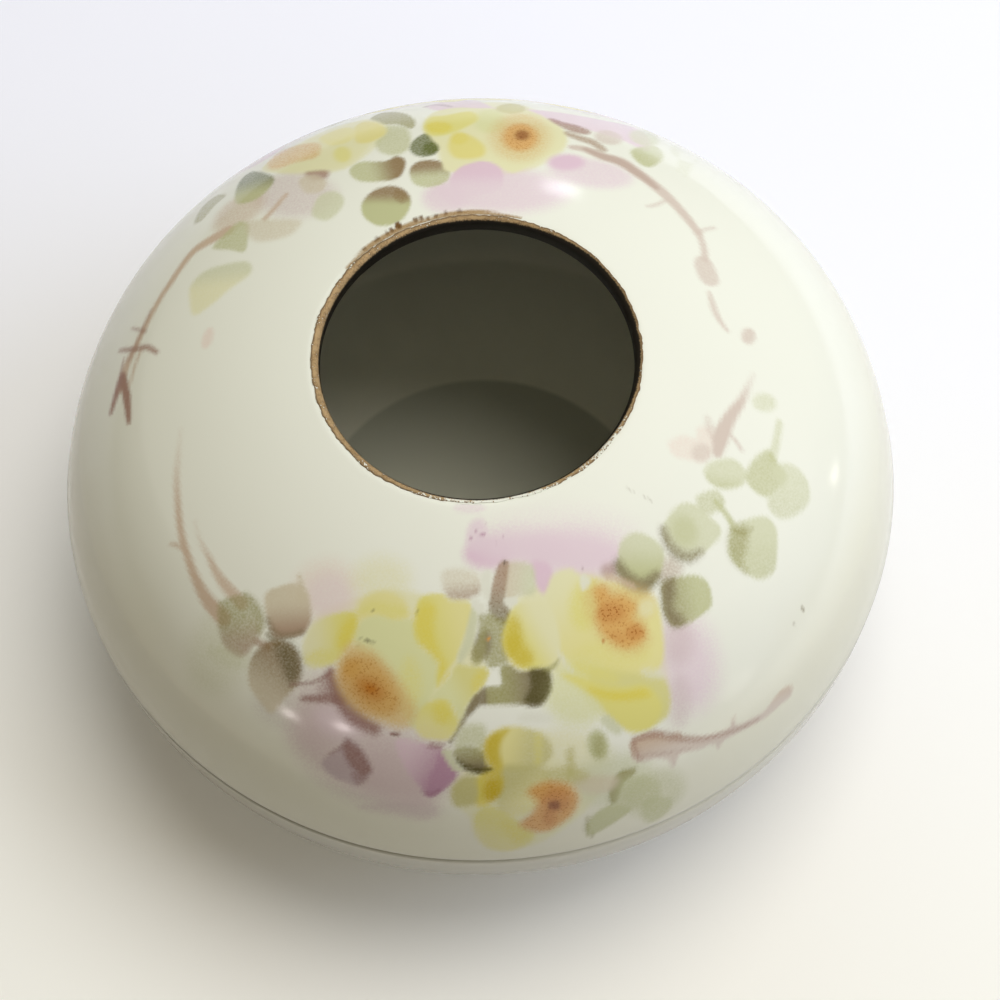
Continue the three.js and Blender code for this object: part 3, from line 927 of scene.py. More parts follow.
NICKS = [
    nick("482,572 491,570 490,590 487,599 482,590", "bare", 0.9, 4),
    nick("472,598 480,600 486,606 479,612 472,604", "bare", 0.95, 3),
    nick("503,598 515,596 517,601 509,606", "bare", 0.95, 3),
    nick("557,650 563,655 565,664 573,670 566,664", "bare", 0.7, 5),
    nick("581,573 589,576 589,583 582,589 579,580", "bare", 0.85, 4),
    nick(oval(652, 672, 12, 5, 10), "bare", 0.5, 7),
    nick("600,717 608,714 622,728 617,733 606,727", "leaf dew", 0.85, 5),
    nick(oval(535, 716, 17, 6), "bare", 0.7, 9),
    nick("606,575 618,578 633,585", "stalk", 0.7, 4, widths=(5, 5, 4)),
    nick(oval(646, 606, 8, 9, 30), "cream", 0.7, 8),
    nick("442,749 451,748 455,758 463,768 454,769 446,758", "leaf dew", 0.9, 4),
    nick("455,662 446,672 440,684", "cream", 0.6, 3, widths=(3, 3, 2)),
    *dots("sienna", 1.0, (488.5, 636, 2.2, 2)),
    nick("365,639 368,639.5", "ink", 0.8, 1, widths=(2, 2)),
    nick("367,639 374,642", "ink", 0.55, 1, widths=(2, 2.4)),
    *dots("ink", 0.6, (360, 637, 1.4, 1.2)),
    *dots("ink", 0.7, (359.5, 645, 1.2, 1.2), (355, 652, 1.1, 1.1), (373.5, 608, 1.1, 1.1)),
    nick("419,607 418,612", "leaf shade", 0.7, 1, widths=(1.4, 1.6)),
    nick("393,731.5 399,732", "plum brown", 1.0, 1, widths=(3, 3)),
    nick("395,731.5 398,732", "ink", 0.8, 1, widths=(2, 2)),
    *dots("ink", 0.8, (342, 690, 1.4, 1.2)),
    # gold that ran over the edge of the band, and its beads
    nick("349,270 352.5,265 370,248.5 388,236.5 408,227.5 428,222 448,216.5 472,213.5 496,215 520,219.5",
         "gilt", 0.95, 2, widths=(3, 6, 7, 7, 8, 8, 7, 6, 5, 2), grain=0.5),
    *dots("gilt brown", 1.0, (399, 226.5, 3.7, 3.3)),
    *dots("gilt brown", 0.9, (416, 220.5, 2.8, 2.4), (421.7, 219, 2.3, 2), (436.3, 217, 2.3, 2)),
    *dots("gilt brown", 0.8, (428.3, 219.5, 2, 1.8), (446, 214, 2, 1.8), (388, 234, 2.2, 2)),
    *dots("gilt brown", 0.7, (460, 212.5, 3.1, 2.1)),
    *dots("gilt brown", 0.9, (392.5, 231, 2.5, 2)),
    *dots("gilt brown", 0.8, (378, 240, 3.4, 2.1, -35), (365.5, 249.5, 2.2, 1.8)),
    nick("800,606 803,609", "leaf shade", 0.6, 1, widths=(2, 2)),
    *dots("leaf shade", 0.5, (794, 623, 1.5, 1.2)),
    nick("626,487 632,490.5", "leaf shade", 0.4, 1, widths=(1.2, 1.2)),
    nick("642,495 652,500.5", "leaf shade", 0.4, 1, widths=(1.2, 1.2)),
    nick("504,559.5 505,561", "ink", 0.8, 1, widths=(2, 2)),
    *dots("deep mauve", 0.8, (581, 566, 1.5, 1.5)),
    *dots("russet", 0.8, (603, 640, 1.2, 1.2)),
    nick("480,534 484,533", "mauve", 0.8, 1, widths=(2, 2)),
    *dots("mauve", 0.7,
          (476, 530, 1.4, 1.4), (486, 523, 1.2, 1.2), (471, 536, 1.4, 1.6), (496, 541, 1.3, 1.3),
          (503, 536, 1.1, 1.1)),
]

FAR_SIDE = [
    mist(far_oval(96, 57, 15, 6), "pale lilac", 0.7, 34),
    mist(far_oval(72, 57, 9, 5), "grey mauve", 0.6, 30),
    mist(far_oval(122, 57, 9, 4.5), "grey mauve", 0.5, 30),
    mist(far_oval(90, 57.5, 12, 5), "cream", 0.85, 12),
    mist(far_oval(99, 59, 9, 6.5), "cream", 0.85, 14),
    stalk("119,59 125,62 132,63.5 139,63 146,60", "stalk", 0.9, 4, widths=(13, 10, 9, 8, 5)),
    stalk("131,63.4 132.5,60.5", "stalk", 0.7, 3, widths=(4, 3)),
    stalk("138,63 140,65.5", "stalk", 0.7, 3, widths=(4, 3)),
    stalk("70,58 63,61 56,62 49,60.5 43,57", "pink stalk", 0.9, 4, widths=(12, 10, 9, 8, 5)),
    stalk("57,62 55.5,64.5", "pink stalk", 0.7, 3, widths=(4, 3)),
    stalk("90,62.5 84,65 78,64", "dark stalk", 0.8, 3, widths=(6, 6, 5)),
    leaf(far_oval(113, 57, 3.9, 3.2, 20), "leaf", 0.9, 4, ("110,57 116,57", "leaf olive", 0.85)),
    shade(far_oval(115.4, 57.5, 1.6, 2.8), "leaf shade", 0.7, 9),
    leaf(far_oval(119.5, 62, 3.5, 2.8, -15), "leaf olive", 0.75, 5),
    leaf(far_oval(110, 64, 3.7, 2.7, 10), "leaf dew", 0.9, 5, ("108,62 112,66", "leaf", 0.9)),
    leaf(far_oval(78, 58.5, 3.9, 3.2, -10), "leaf", 0.85, 5, ("80,56 76,60", "leaf olive", 0.9)),
    shade(far_oval(76, 59.8, 2.6, 1.5, 15), "leaf shade", 0.7, 9),
    leaf(far_oval(71.5, 63.2, 3.4, 2.7, 25), "leaf dew", 0.9, 5, ("73,61 70,65", "leaf", 0.9)),
    leaf(far_oval(83.5, 64.5, 3.2, 2.3), "leaf", 0.8, 6),
    petal(far_oval(86, 55.7, 6, 3.5, -8), "soft lemon", 1.0, 8, ("86,59 86,52", "cream", 0.9)),
    petal(far_oval(74, 56.4, 5.5, 3.2, 12), "pale lemon", 1.0, 8),
    petal(far_oval(80, 58.6, 4.6, 2.9), "soft lemon", 0.95, 8),
    petal(far_oval(103, 56.3, 4.8, 3.7, 10), "soft lemon", 1.0, 7, ("105,54 101,60", "cream", 0.9)),
    petal(far_oval(93, 56.5, 4.2, 4.6), "pale lemon", 1.0, 7),
    petal(far_oval(105.5, 59.5, 3.9, 4.2), "green cream", 1.0, 7),
    petal(far_oval(99, 64.5, 6.4, 2.9), "soft lemon", 1.0, 7, ("99,67 99,62", "cream", 0.9)),
    petal(far_oval(99, 59, 5, 4.4), "cream", 1.0, 8),
    shade(far_oval(93, 56, 2.6, 1.9), "lemon", 0.7, 10),
    shade(far_oval(102.6, 55, 2.9, 1.5), "lemon", 0.6, 10),
    shade(far_oval(103.5, 64, 2.6, 1.6, 15), "lemon", 0.7, 9),
    shade(far_oval(84, 54.8, 3.2, 1.6), "lemon", 0.6, 10),
    heart(far_oval(99, 59, 4, 3.4), "pale amber", 0.6, 16),
    heart(far_oval(99, 59.2, 2.7, 2.2), "sienna", 0.8, 12, grain=0.6),
    heart(far_oval(99, 59.3, 1.1, 0.9), "deep russet", 0.7, 8, grain=0.9),
    petal(far_oval(126, 55.5, 4.2, 3, 10), "lilac", 0.85, 8, ("124,53 129,56", "pale lilac", 0.5)),
    petal(far_oval(66, 57.5, 4.2, 2.8, -12), "lilac", 0.8, 8, ("68,56 64,59", "pale lilac", 0.5)),
]

for far_stroke in FAR_SIDE:
    far_stroke.unseen = True
ROSES = FRONT_LEFT_ROSE + FRONT_RIGHT_ROSE + BOTTOM_ROSE + BACK_ROSES
STROKES = CLOUDS + STEMS + LEAVES + MAUVE_LEAVES + ROSES + FAR_SIDE + NICKS


# Meshes


def turned_grid(outline, azimuths):
    """Points of a turned surface: row i, column j is outline point i at azimuth j."""
    radius, height = outline[:, 0, None], outline[:, 1, None]
    return np.stack((radius * np.cos(azimuths), radius * np.sin(azimuths), height + 0 * azimuths), axis=-1)


def grid_faces(row_count, column_count, capped):
    """The corners of the faces that join each grid point to the next row and column, both of which close
    up, and where each face starts. A `capped` grid closes at two poles instead, the points after its last,
    with a fan of triangles round each."""
    number = np.arange(row_count * column_count).reshape(row_count, column_count)
    following_column = np.roll(number, -1, axis=1)
    following_row = np.roll(number, -1, axis=0)
    both = np.roll(following_column, -1, axis=0)
    quads = np.stack((number, following_column, both, following_row), axis=-1)
    if not capped:
        return quads.reshape(-1), np.arange(0, quads.size, 4)
    quads = quads[:-1].reshape(-1)
    first, last = np.full(column_count, number.size), np.full(column_count, number.size + 1)
    fans = (
        np.stack((following_column[0], number[0], first), -1),
        np.stack((number[-1], following_column[-1], last), -1),
    )
    corners = np.concatenate((quads, *(fan.reshape(-1) for fan in fans)))
    starts = np.concatenate((np.arange(0, quads.size, 4), np.arange(quads.size, corners.size, 3)))
    return corners, starts


def added(name, data):
    """A new object in the scene."""
    thing = bpy.data.objects.new(name, data)
    bpy.context.scene.collection.objects.link(thing)
    return thing


def mesh_from_grid(name, grid, capped=False):
    """A smooth object over a grid of points, with a pole in the middle of its first and of its last row
    where it is `capped`."""
    points = grid.reshape(-1, 3)
    if capped:
        points = np.concatenate((points, grid[[0, -1]].mean(1)))
    corners, starts = grid_faces(*grid.shape[:2], capped)
    mesh = bpy.data.meshes.new(name)
    mesh.vertices.add(len(points))
    mesh.vertices.foreach_set("co", points.reshape(-1).astype(np.float32))
    mesh.loops.add(corners.size)
    mesh.loops.foreach_set("vertex_index", corners.astype(np.int32))
    mesh.polygons.add(len(starts))
    mesh.polygons.foreach_set("loop_start", starts.astype(np.int32))
    mesh.update(calc_edges=True)
    mesh.polygons.foreach_set("use_smooth", np.ones(len(starts), bool))
    mesh.validate()
    return added(name, mesh)


def spread_out(values, before, count, rest):
    """The values with `before` places ahead of them and the others behind, to `count` places, all `rest`."""
    whole = np.full((count, *values.shape[1:]), rest, float)
    whole[before : before + len(values)] = values
    return whole


def set_attribute(thing, name, values):
    """Stores one number, or a colour of four, for each point of the mesh."""
    kind, field = ("FLOAT_COLOR", "color") if values.ndim > 1 else ("FLOAT", "value")
    layer = thing.data.attributes.new(name, kind, "POINT")
    layer.data.foreach_set(field, values.reshape(-1).astype(np.float32))


# Node sheets


class Wire:
    """A socket's value in a node sheet. Arithmetic on it adds Math nodes."""

    def __init__(self, sheet, socket):
        self.sheet = sheet
        self.socket = socket

    def sibling(self, name):
        """Another output of the same node."""
        return Wire(self.sheet, self.socket.node.outputs[name])

    def _maths(self, operation, *values):
        return self.sheet.node("Math", {"operation": operation}, dict(enumerate(values)))

    def __add__(self, other):
        return self._maths("ADD", self, other)

    def __sub__(self, other):
        return self._maths("SUBTRACT", self, other)

    def __rsub__(self, other):
        return self._maths("SUBTRACT", other, self)

    def __mul__(self, other):
        return self._maths("MULTIPLY", self, other)

    def __truediv__(self, other):
        return self._maths("DIVIDE", self, other)

    def __pow__(self, other):
        return self._maths("POWER", self, other)

    def larger(self, other):
        return self._maths("MAXIMUM", self, other)

    def clamped(self):
        return self.sheet.node("Clamp", {}, {"Value": self})

    def stepped(self, low, high):
        """0 below `low`, 1 above `high`, and a smooth rise between."""
        settings = {"interpolation_type": "SMOOTHSTEP"}
        return self.sheet.node("MapRange", settings, {"Value": self, "From Min": low, "From Max": high})


class Sheet:
    """The node sheet of a material, or of another owner whose kind is named."""

    def __init__(self, owner, kind="Material"):
        self.owner = owner
        owner.use_nodes = True
        self.tree = owner.node_tree
        self.tree.nodes.clear()
        self.last = self.tree.nodes.new("ShaderNodeOutput" + kind).inputs["Surface"]
        self.place = self.node("TexCoord", {}, {}, output="Object")

    def node(self, kind, settings, inputs, output=0):
        """Adds a node: its settings first, then the values or wires of its sockets."""
        made = self.tree.nodes.new("ShaderNode" + kind)
        for name, value in settings.items():
            setattr(made, name, value)
        for name, value in inputs.items():
            socket = made.inputs[name]
            if isinstance(value, Wire):
                self.tree.links.new(value.socket, socket)
            elif socket.type == "RGBA" and len(value) == 3:
                socket.default_value = (*value, 1)
            else:
                socket.default_value = value
        return Wire(self, made.outputs[output])

    def mix(self, share, first, second, blend="MIX"):
        """A colour between two colours. The Mix node's sockets for them are 6 and 7, and its output is 2."""
        settings = {"data_type": "RGBA", "blend_type": blend}
        return self.node("Mix", settings, {0: share, 6: first, 7: second}, output=2)

    def noise(self, size, detail=2, roughness=0.5, stretch=(1, 1, 1)):
        """Cloudy noise from 0 to 1, about `size` metres from lump to lump."""
        scale = tuple(each / size for each in stretch)
        place = self.node("Mapping", {}, {"Vector": self.place, "Scale": scale})
        inputs = {"Vector": place, "Scale": 1, "Detail": detail, "Roughness": roughness}
        return self.node("TexNoise", {}, inputs)

    def specks(self, spacing, reach):
        """1 in scattered specks, about `spacing` metres apart, some as wide as `reach` and most narrower."""
        place = self.node("Mapping", {}, {"Vector": self.place, "Scale": (1 / spacing,) * 3})
        cells = self.node("TexVoronoi", {}, {"Vector": place, "Scale": 1}, output="Distance")
        width = (cells.sibling("Color") - CLEAN_SHARE).larger(0) * (reach / spacing)
        return 1 - (cells - width).stepped(-SPECK_EDGE, SPECK_EDGE)

    def attribute(self, name):
        """A colour or number that the mesh stores for each point."""
        return self.node("Attribute", {"attribute_name": name}, {}, output="Color")

    def number(self, name):
        """A number that the mesh stores for each point."""
        return self.attribute(name).sibling("Fac")

    def axis(self, name):
        """One coordinate of the place, in metres."""
        return self.node("SeparateXYZ", {}, {0: self.place}, output=name)

    def height(self):
        """Height above the floor."""
        return self.axis("Z")

    def from_axis(self):
        """Distance from the Z axis."""
        across, along = self.axis("X"), self.axis("Y")
        return (across * across + along * along) ** 0.5

    def bump(self, relief, depth):
        """A bumped normal for a relief from 0 to 1 that is `depth` metres high."""
        inputs = {"Strength": 1.0, "Distance": depth, "Height": relief}
        return self.node("Bump", {}, inputs, output="Normal")

    def end_in(self, shader):
        """Ends the sheet in a shader, and returns what the sheet belongs to."""
        self.tree.links.new(shader.socket, self.last)
        return self.owner

    def surface(self, **sockets):
        """Ends the sheet in a Principled shader with these sockets."""
        inputs = {name.replace("_", " "): value for name, value in sockets.items()}
        return self.end_in(self.node("BsdfPrincipled", {}, inputs))

    def open_from_behind(self):
        """Makes the finished sheet see-through from its back."""
        front = Wire(self, self.last.links[0].from_socket)
        back = self.node("NewGeometry", {}, {}, output="Backfacing")
        clear = self.node("BsdfTransparent", {}, {})
        return self.end_in(self.node("MixShader", {}, {0: back, 1: front, 2: clear}))


def material_sheet(name):
    """The sheet of a new material."""
    return Sheet(bpy.data.materials.new(name))


# Finishes

# Specks: the share of cells without one, and how soft a speck's edge is
CLEAN_SHARE = 0.6
SPECK_EDGE = 0.004

# The glaze: the sizes of its slow waves and its fine ripple, how strongly each lifts it, how deep they are,
# how rough it is, and how much the ripple and bare porcelain add to that
WAVE_SIZE = 9 * MM
RIPPLE_SIZE = 1.6 * MM
WAVE_RELIEF = 0.8
RIPPLE_RELIEF = 0.06
GLAZE_RELIEF = 0.048 * MM
GLAZE_ROUGHNESS = 0.1
RIPPLE_ROUGHNESS = 0.06
BARE_ROUGHNESS = 0.5
GLAZE_IOR = 1.5
PINHOLE = (0.16, 0.12, 0.08)
PINHOLE_SHARE = 0.55
PINHOLE_SPACING = 7 * MM
PINHOLE_REACH = 0.5 * MM

# The grounds: the heights between which the dome's glaze gives way to the sides' darker one, which wander,
# and the sides' to the bowl's. The sides are darker partly as a duller ground and partly as painted shade,
# and the bowl as painted shade. Then come the heights between which the inside wall is paler, a painted lit
# band near the floor, that paler colour, and the bowl's glaze
DOME_HEIGHTS = (36 * MM, 47 * MM)
DOME_WANDER_SIZE = 11 * MM
DOME_WANDER = 4 * MM
SIDE_HEIGHTS = (25 * MM, 31 * MM)
LIT_BAND_HEIGHTS = (4 * MM, 13 * MM)
PAINTED_LIT_BAND = (0.86, 0.85, 0.73)
BOWL_SHADED_GLAZE = (0.57, 0.56, 0.48)

# A painted highlight along the lid's foot, where its rounded lower edge catches the light: the heights
# between which it ends, and how much of it shows
FOOT_HIGHLIGHT_HEIGHTS = (LID_FOOT + 0.35 * MM, LID_FOOT + 0.8 * MM)
FOOT_HIGHLIGHT = (0.95, 0.94, 0.88)
FOOT_HIGHLIGHT_SHARE = 0.7

# Painted shade in the groove under the seam: how far below the seam it starts and is full, and where along X
# it ends
SEAM_SHADE = (0.17, 0.15, 0.10)
SEAM_SHADE_SHARE = 0.6
SEAM_SHADE_START = 1.1 * MM
SEAM_SHADE_FULL = 0.2 * MM
SEAM_SHADE_SIDE = (-40 * MM, 30 * MM)

# Bare porcelain: how far up the foot ring it goes in millimetres, how that edge frays, and its scuffs
BARE_TOP = 0.25
BARE_EDGE = (0, 0.12)
BARE_FRAY = 0.5
BARE_FRAY_SIZE = 1.2 * MM
SCUFF_SIZE = 2.4 * MM
SCUFF_STRETCH = (1, 1, 0.2)
SCUFF_RANGE = (0.5, 0.75)
SCUFF_SHADE = 0.72

# The powdery look of the fired colours: grain sizes, how far it frays edges and thins colours, how soft
# an edge is in millimetres, and the dark stipple of the hearts
FRAY_SIZE = 0.6 * MM
POWDER_SIZE = 0.28 * MM
FRAY_SHARE = 0.7
DUSTING_SHARE = 2.4
EDGE_SOFTNESS_MM = 0.12
STIPPLE = (0.62, 0.48, 0.38)
STIPPLE_RANGE = (0.56, 0.66)

# The gold's mottling and grain: their sizes, and how much of the tone and of the relief is mottling
MOTTLE_SIZE = 0.9 * MM
GRAIN_SIZE = 0.25 * MM
MOTTLE_TONE = 0.6
MOTTLE_RELIEF = 0.7
GOLD_RELIEF = 0.06 * MM
GOLD_SHADE = (0.27, 0.17, 0.075)
GOLD_SHADE_RANGE = (0.42, 0.66)

# The gold's brown outline and the black on its wall, which paints shade and a dark reflection there, by the
# distance inwards in millimetres, which the grain frays
INWARD_FRAY = 0.35
GOLD_OUTLINE = (0.07, 0.040, 0.018)
OUTLINE_SHARE = 0.7
OUTLINE_RANGE = (0.07, 0.30)
GOLD_WALL_SHADE = (0.010, 0.008, 0.006)
WALL_SHADE_RANGE = (1.10, 1.40)

# Where the gold is rubbed through, which wear, grain and mottling decide
WEAR_WEIGHT = 0.62
GRAIN_WEIGHT = 1.5
MOTTLE_WEIGHT = 1.2
RUBBED_RANGE = (0.30, 0.42)
GOLD_METALLIC = 0.35
GOLD_ROUGHNESS = 0.5
RUBBED_GLOSS = 0.3


def glazed(sheet, colour, bare=0.0):
    """Clear glaze over a colour: glossy, with the faint slow unevenness of a dipped and fired coat, and
    matt where it is `bare`. Dark pinholes lie few and far between."""
    waves = sheet.noise(WAVE_SIZE, detail=1)
    ripple = sheet.noise(RIPPLE_SIZE)
    pinhole = sheet.specks(PINHOLE_SPACING, PINHOLE_REACH)
    return sheet.surface(
        Base_Color=sheet.mix(pinhole * PINHOLE_SHARE, colour, PINHOLE),
        Roughness=ripple * RIPPLE_ROUGHNESS + GLAZE_ROUGHNESS + bare * BARE_ROUGHNESS,
        Normal=sheet.bump(waves * WAVE_RELIEF + ripple * RIPPLE_RELIEF, GLAZE_RELIEF),
        IOR=GLAZE_IOR,
    )


def ground(sheet, finishes):
    """The glaze outside: creamy on the dome, darker from the shoulder down, partly as a duller ground and
    partly as painted shade, and darkest on the bowl, where the darkness is painted shade.
    """
    wander = (sheet.noise(DOME_WANDER_SIZE, detail=1) - 0.5) * DOME_WANDER
    on_dome = (sheet.height() + wander).stepped(*DOME_HEIGHTS)
    on_side = sheet.height().stepped(*SIDE_HEIGHTS)
    below = sheet.mix(on_side, BOWL_SHADED_GLAZE, tuple(finishes.shaded_foot_glaze))
    return sheet.mix(on_dome, below, tuple(finishes.glaze))


def painted(sheet, colour):
    """The layers of fired colour over the ground. Fine noise frays the edge of each layer, thins the colour
    where it is laid on thin, and stipples the hearts of the roses."""
    powder = sheet.noise(POWDER_SIZE, detail=1)
    fray = (sheet.noise(FRAY_SIZE, detail=1) - 0.5) * FRAY_SHARE
    dusting = (powder - 0.5) * DUSTING_SHARE
    for name in LAYERS:
        pigment = sheet.attribute(name)
        edge = (sheet.number(name + " depth") + fray).stepped(-EDGE_SOFTNESS_MM, EDGE_SOFTNESS_MM)
        cover = pigment.sibling("Alpha") * edge
        cover = (cover + cover * (1 - cover) * dusting).clamped()
        colour = sheet.mix(cover, colour, pigment)
    speck = powder.stepped(*STIPPLE_RANGE) * sheet.number("grain")
    return sheet.mix(speck, colour, STIPPLE, blend="MULTIPLY")


def lid_glaze(finishes):
    """The lid's painted outside, its inside greyer with painted shade, and a painted highlight along its
    foot.
    """
    sheet = material_sheet("painted glaze")
    # The lid's inside is greyer: painted shade
    colour = sheet.mix(sheet.number("inside"), ground(sheet, finishes), tuple(finishes.shaded_inside_glaze))
    # A pale band along the foot: painted highlight
    thin = 1 - sheet.height().stepped(*FOOT_HIGHLIGHT_HEIGHTS)
    colour = sheet.mix(thin * FOOT_HIGHLIGHT_SHARE, colour, FOOT_HIGHLIGHT)
    return glazed(sheet, painted(sheet, colour))


def bowl_glaze(finishes, seam):
    """The bowl's outside, darker as painted shade, with painted shade in the groove under the seam; its
    inside, greyer with painted shade and paler low on the wall as a painted lit band; and bare porcelain,
    chalky and scuffed, where it stands."""
    sheet = material_sheet("bowl glaze")
    outside = 1 - sheet.number("inside")
    # Paler low on the inside wall, near the floor: a painted lit band
    lit_band = 1 - sheet.height().stepped(*LIT_BAND_HEIGHTS)
    lining = sheet.mix(lit_band, tuple(finishes.shaded_inside_glaze), PAINTED_LIT_BAND)
    colour = sheet.mix(sheet.number("inside"), ground(sheet, finishes), lining)
    # The floor inside is darker: painted shade
    colour = sheet.mix(sheet.number("floor"), colour, tuple(finishes.shaded_inside_floor))
    # Painted shade in the groove under the seam, fading out towards +X
    seam_shade = sheet.height().stepped(seam - SEAM_SHADE_START, seam - SEAM_SHADE_FULL)
    seam_shade = seam_shade * (1 - sheet.axis("X").stepped(*SEAM_SHADE_SIDE))
    colour = sheet.mix(seam_shade * outside * SEAM_SHADE_SHARE, colour, SEAM_SHADE)
    biscuit = tuple(finishes.biscuit)
    scuffs = sheet.noise(SCUFF_SIZE, detail=4, stretch=SCUFF_STRETCH).stepped(*SCUFF_RANGE)
    biscuit = sheet.mix(scuffs, biscuit, tuple(SCUFF_SHADE * each for each in biscuit))
    bare_top = sheet.noise(BARE_FRAY_SIZE) * BARE_FRAY + BARE_TOP
    bare = (bare_top - sheet.height() / MM).stepped(*BARE_EDGE)
    return glazed(sheet, sheet.mix(bare, colour, biscuit), bare)


def worn_gold(finishes):
    """Brushed-on gold with a brown outline, mottled, black down the wall of the opening as painted shade and
    a painted dark reflection, and rubbed through to the glaze where it is worn. In some stretches round the
    band the painted shade reaches over the lip."""
    sheet = material_sheet("worn gold")
    mottle = sheet.noise(MOTTLE_SIZE, detail=3, roughness=0.6)
    grain = sheet.noise(GRAIN_SIZE)
    mottled = (mottle * MOTTLE_TONE + grain * (1 - MOTTLE_TONE)).stepped(*GOLD_SHADE_RANGE)
    tone = sheet.mix(mottled, tuple(finishes.gold), GOLD_SHADE)
    inward = sheet.number("inward") + (grain - 0.5) * INWARD_FRAY
    outline = 1 - inward.stepped(*OUTLINE_RANGE)
    tone = sheet.mix(outline * OUTLINE_SHARE, tone, GOLD_OUTLINE)
    # Black on the wall and, in some stretches, over the lip: painted shade and dark reflection
    wall_shade = (inward + sheet.number("lip_shade")).stepped(*WALL_SHADE_RANGE)
    tone = sheet.mix(wall_shade, tone, GOLD_WALL_SHADE)
    wear = sheet.number("worn") * WEAR_WEIGHT + (grain - 0.5) * GRAIN_WEIGHT + (mottle - 0.5) * MOTTLE_WEIGHT
    rubbed = wear.stepped(*RUBBED_RANGE) * (1 - wall_shade)
    return sheet.surface(
        Base_Color=sheet.mix(rubbed, tone, tuple(finishes.glaze)),
        Metallic=(1 - wall_shade) * (1 - rubbed) * (1 - outline) * GOLD_METALLIC,
        Roughness=GOLD_ROUGHNESS - rubbed * RUBBED_GLOSS,
        Normal=sheet.bump(mottle * MOTTLE_RELIEF + grain * (1 - MOTTLE_RELIEF), GOLD_RELIEF),
    )


# Pieces


class ReceiverSettings(bpy.types.PropertyGroup):
    """Everything that a user of the hair receiver may change."""

    lid: PointerProperty(type=LidSizes)
    bowl: PointerProperty(type=BowlSizes)
    finishes: PointerProperty(type=Finishes)
    light: PointerProperty(type=StageLight)


def lid_top_outline(sizes):
    """The lid's outer surface from the edge of the opening to its foot."""
    foot = (BODY_RADIUS, LID_FOOT)
    shoulder = (BODY_RADIUS - sizes.shoulder_inset, CROWN_HEIGHT - sizes.shoulder_drop)
    crown = (GILT_RADIUS, CROWN_HEIGHT)
    side = beyond(bulged(shoulder, foot, sizes.side_bulge), sizes.shoulder_rounding)
    dome = beyond(bulged(shoulder, crown, sizes.dome_bulge), sizes.shoulder_rounding)
    corner = quadratic(dome[0], shoulder, side[0])
    return np.concatenate((dome[::-1], corner[1:-1], side))


def opening_lip(sizes, sink):
    """The edge of the opening from the foot of its wall, over the lip, to the crown, `sink` below the
    finished surface."""
    radius = sizes.opening_radius + sink
    return np.array(
        (
            (radius, GILT_FOOT),
            (radius, CROWN_HEIGHT - LIP_REACH),
            (radius + LIP_CORNER, CROWN_HEIGHT - LIP_CORNER - sink),
            (radius + LIP_REACH, CROWN_HEIGHT - sink),
            (GILT_RADIUS, CROWN_HEIGHT - sink),
        )
    )


def lid_thickness(sizes, radius):
    """The lip's thickness at the opening, the wall's from `thinning` outwards, and a straight change."""
    share = np.clip((radius - GILT_RADIUS) / sizes.thinning, 0, 1)
    return sizes.lip + (sizes.wall - sizes.lip) * share


def moved_inward(points, thickness):
    """The run moved square to itself, down and towards the axis."""
    along = np.gradient(points, axis=0)
    along /= np.hypot(*along.T)[:, None]
    inward = np.stack((along[:, 1], -along[:, 0]), 1)
    return points + inward * thickness[:, None]


def lid_rows(sizes):
    """The lid's rows: those outside, from the foot of the opening's wall over the dome to the rounded lower
    edge, and those inside, up the socket and back along the wall."""
    edge_top = LID_FOOT + sizes.edge_rounding
    edge = quadratic(
        (BODY_RADIUS, edge_top), (BODY_RADIUS, LID_FOOT), (BODY_RADIUS - sizes.edge_rounding, LID_FOOT)
    )
    plain = lid_top_outline(sizes)
    top = softened(np.concatenate((opening_lip(sizes, LID_SINK), plain[1:])))
    top = top[(top[:, 1] > edge_top) | (top[:, 0] < GILT_RADIUS)]
    outer = rows(np.concatenate((top, edge)), LID_OUTER_ROWS)
    socket_radius = BODY_RADIUS - sizes.foot_thickness
    socket_top = LID_FOOT + sizes.socket_depth
    socket = [(socket_radius, LID_FOOT), (socket_radius, socket_top)]
    inside = moved_inward(plain, lid_thickness(sizes, plain[:, 0]))
    keep = (inside[:, 1] > socket_top) & (inside[:, 0] < socket_radius) & (inside[:, 0] > GILT_RADIUS)
    inner = softened(np.concatenate((edge[-1:], socket, inside[keep][::-1])))
    return outer, rows(inner, LID_INNER_ROWS + 1, nearer_corners((edge[-1], *socket)))[1:]


def paint_lid(lid, outer, count, azimuths, chart):
    """Paints the dome, which is the outer rows from the crown on, and stores the layers in the lid's `count`
    points."""
    crown = np.argmax(outer[:, 0] >= GILT_RADIUS)
    runs = run_lengths(outer) - run_lengths(outer)[crown] + GILT_RADIUS
    places = flat(azimuths[None], runs[crown:, None]).reshape(-1, 2)
    layers, grain = paint(places, chart, STROKES)
    before = crown * len(azimuths)
    for name, layer in layers.items():
        set_attribute(lid, name, spread_out(layer.painted(), before, count, 0))
        set_attribute(lid, name + " depth", spread_out(layer.depth / MM, before, count, -1))
    set_attribute(lid, "grain", spread_out(grain, before, count, 0))


class HAIRRECEIVER_OT_lid(bpy.types.Operator):
    """Make the painted lid"""

    bl_idname = "hair_receiver.lid"
    bl_label = "Lid"

    def execute(self, context):
        settings = context.scene.hair_receiver
        outer, inner = lid_rows(settings.lid)
        outline = np.concatenate((outer, inner))
        azimuths = -np.arange(LID_TURN_STEPS) * FULL_TURN / LID_TURN_STEPS
        lid = mesh_from_grid("painted_lid", turned_grid(outline, azimuths))
        chart = LidChart(lid_top_outline(settings.lid))
        paint_lid(lid, outer, len(outline) * LID_TURN_STEPS, azimuths, chart)
        inward = np.arange(len(outline)) >= len(outer)
        set_attribute(lid, "inside", np.repeat(inward, LID_TURN_STEPS).astype(float))
        lid.data.materials.append(lid_glaze(settings.finishes))
        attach(lid, "lid")
        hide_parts("lid")
        return {"FINISHED"}


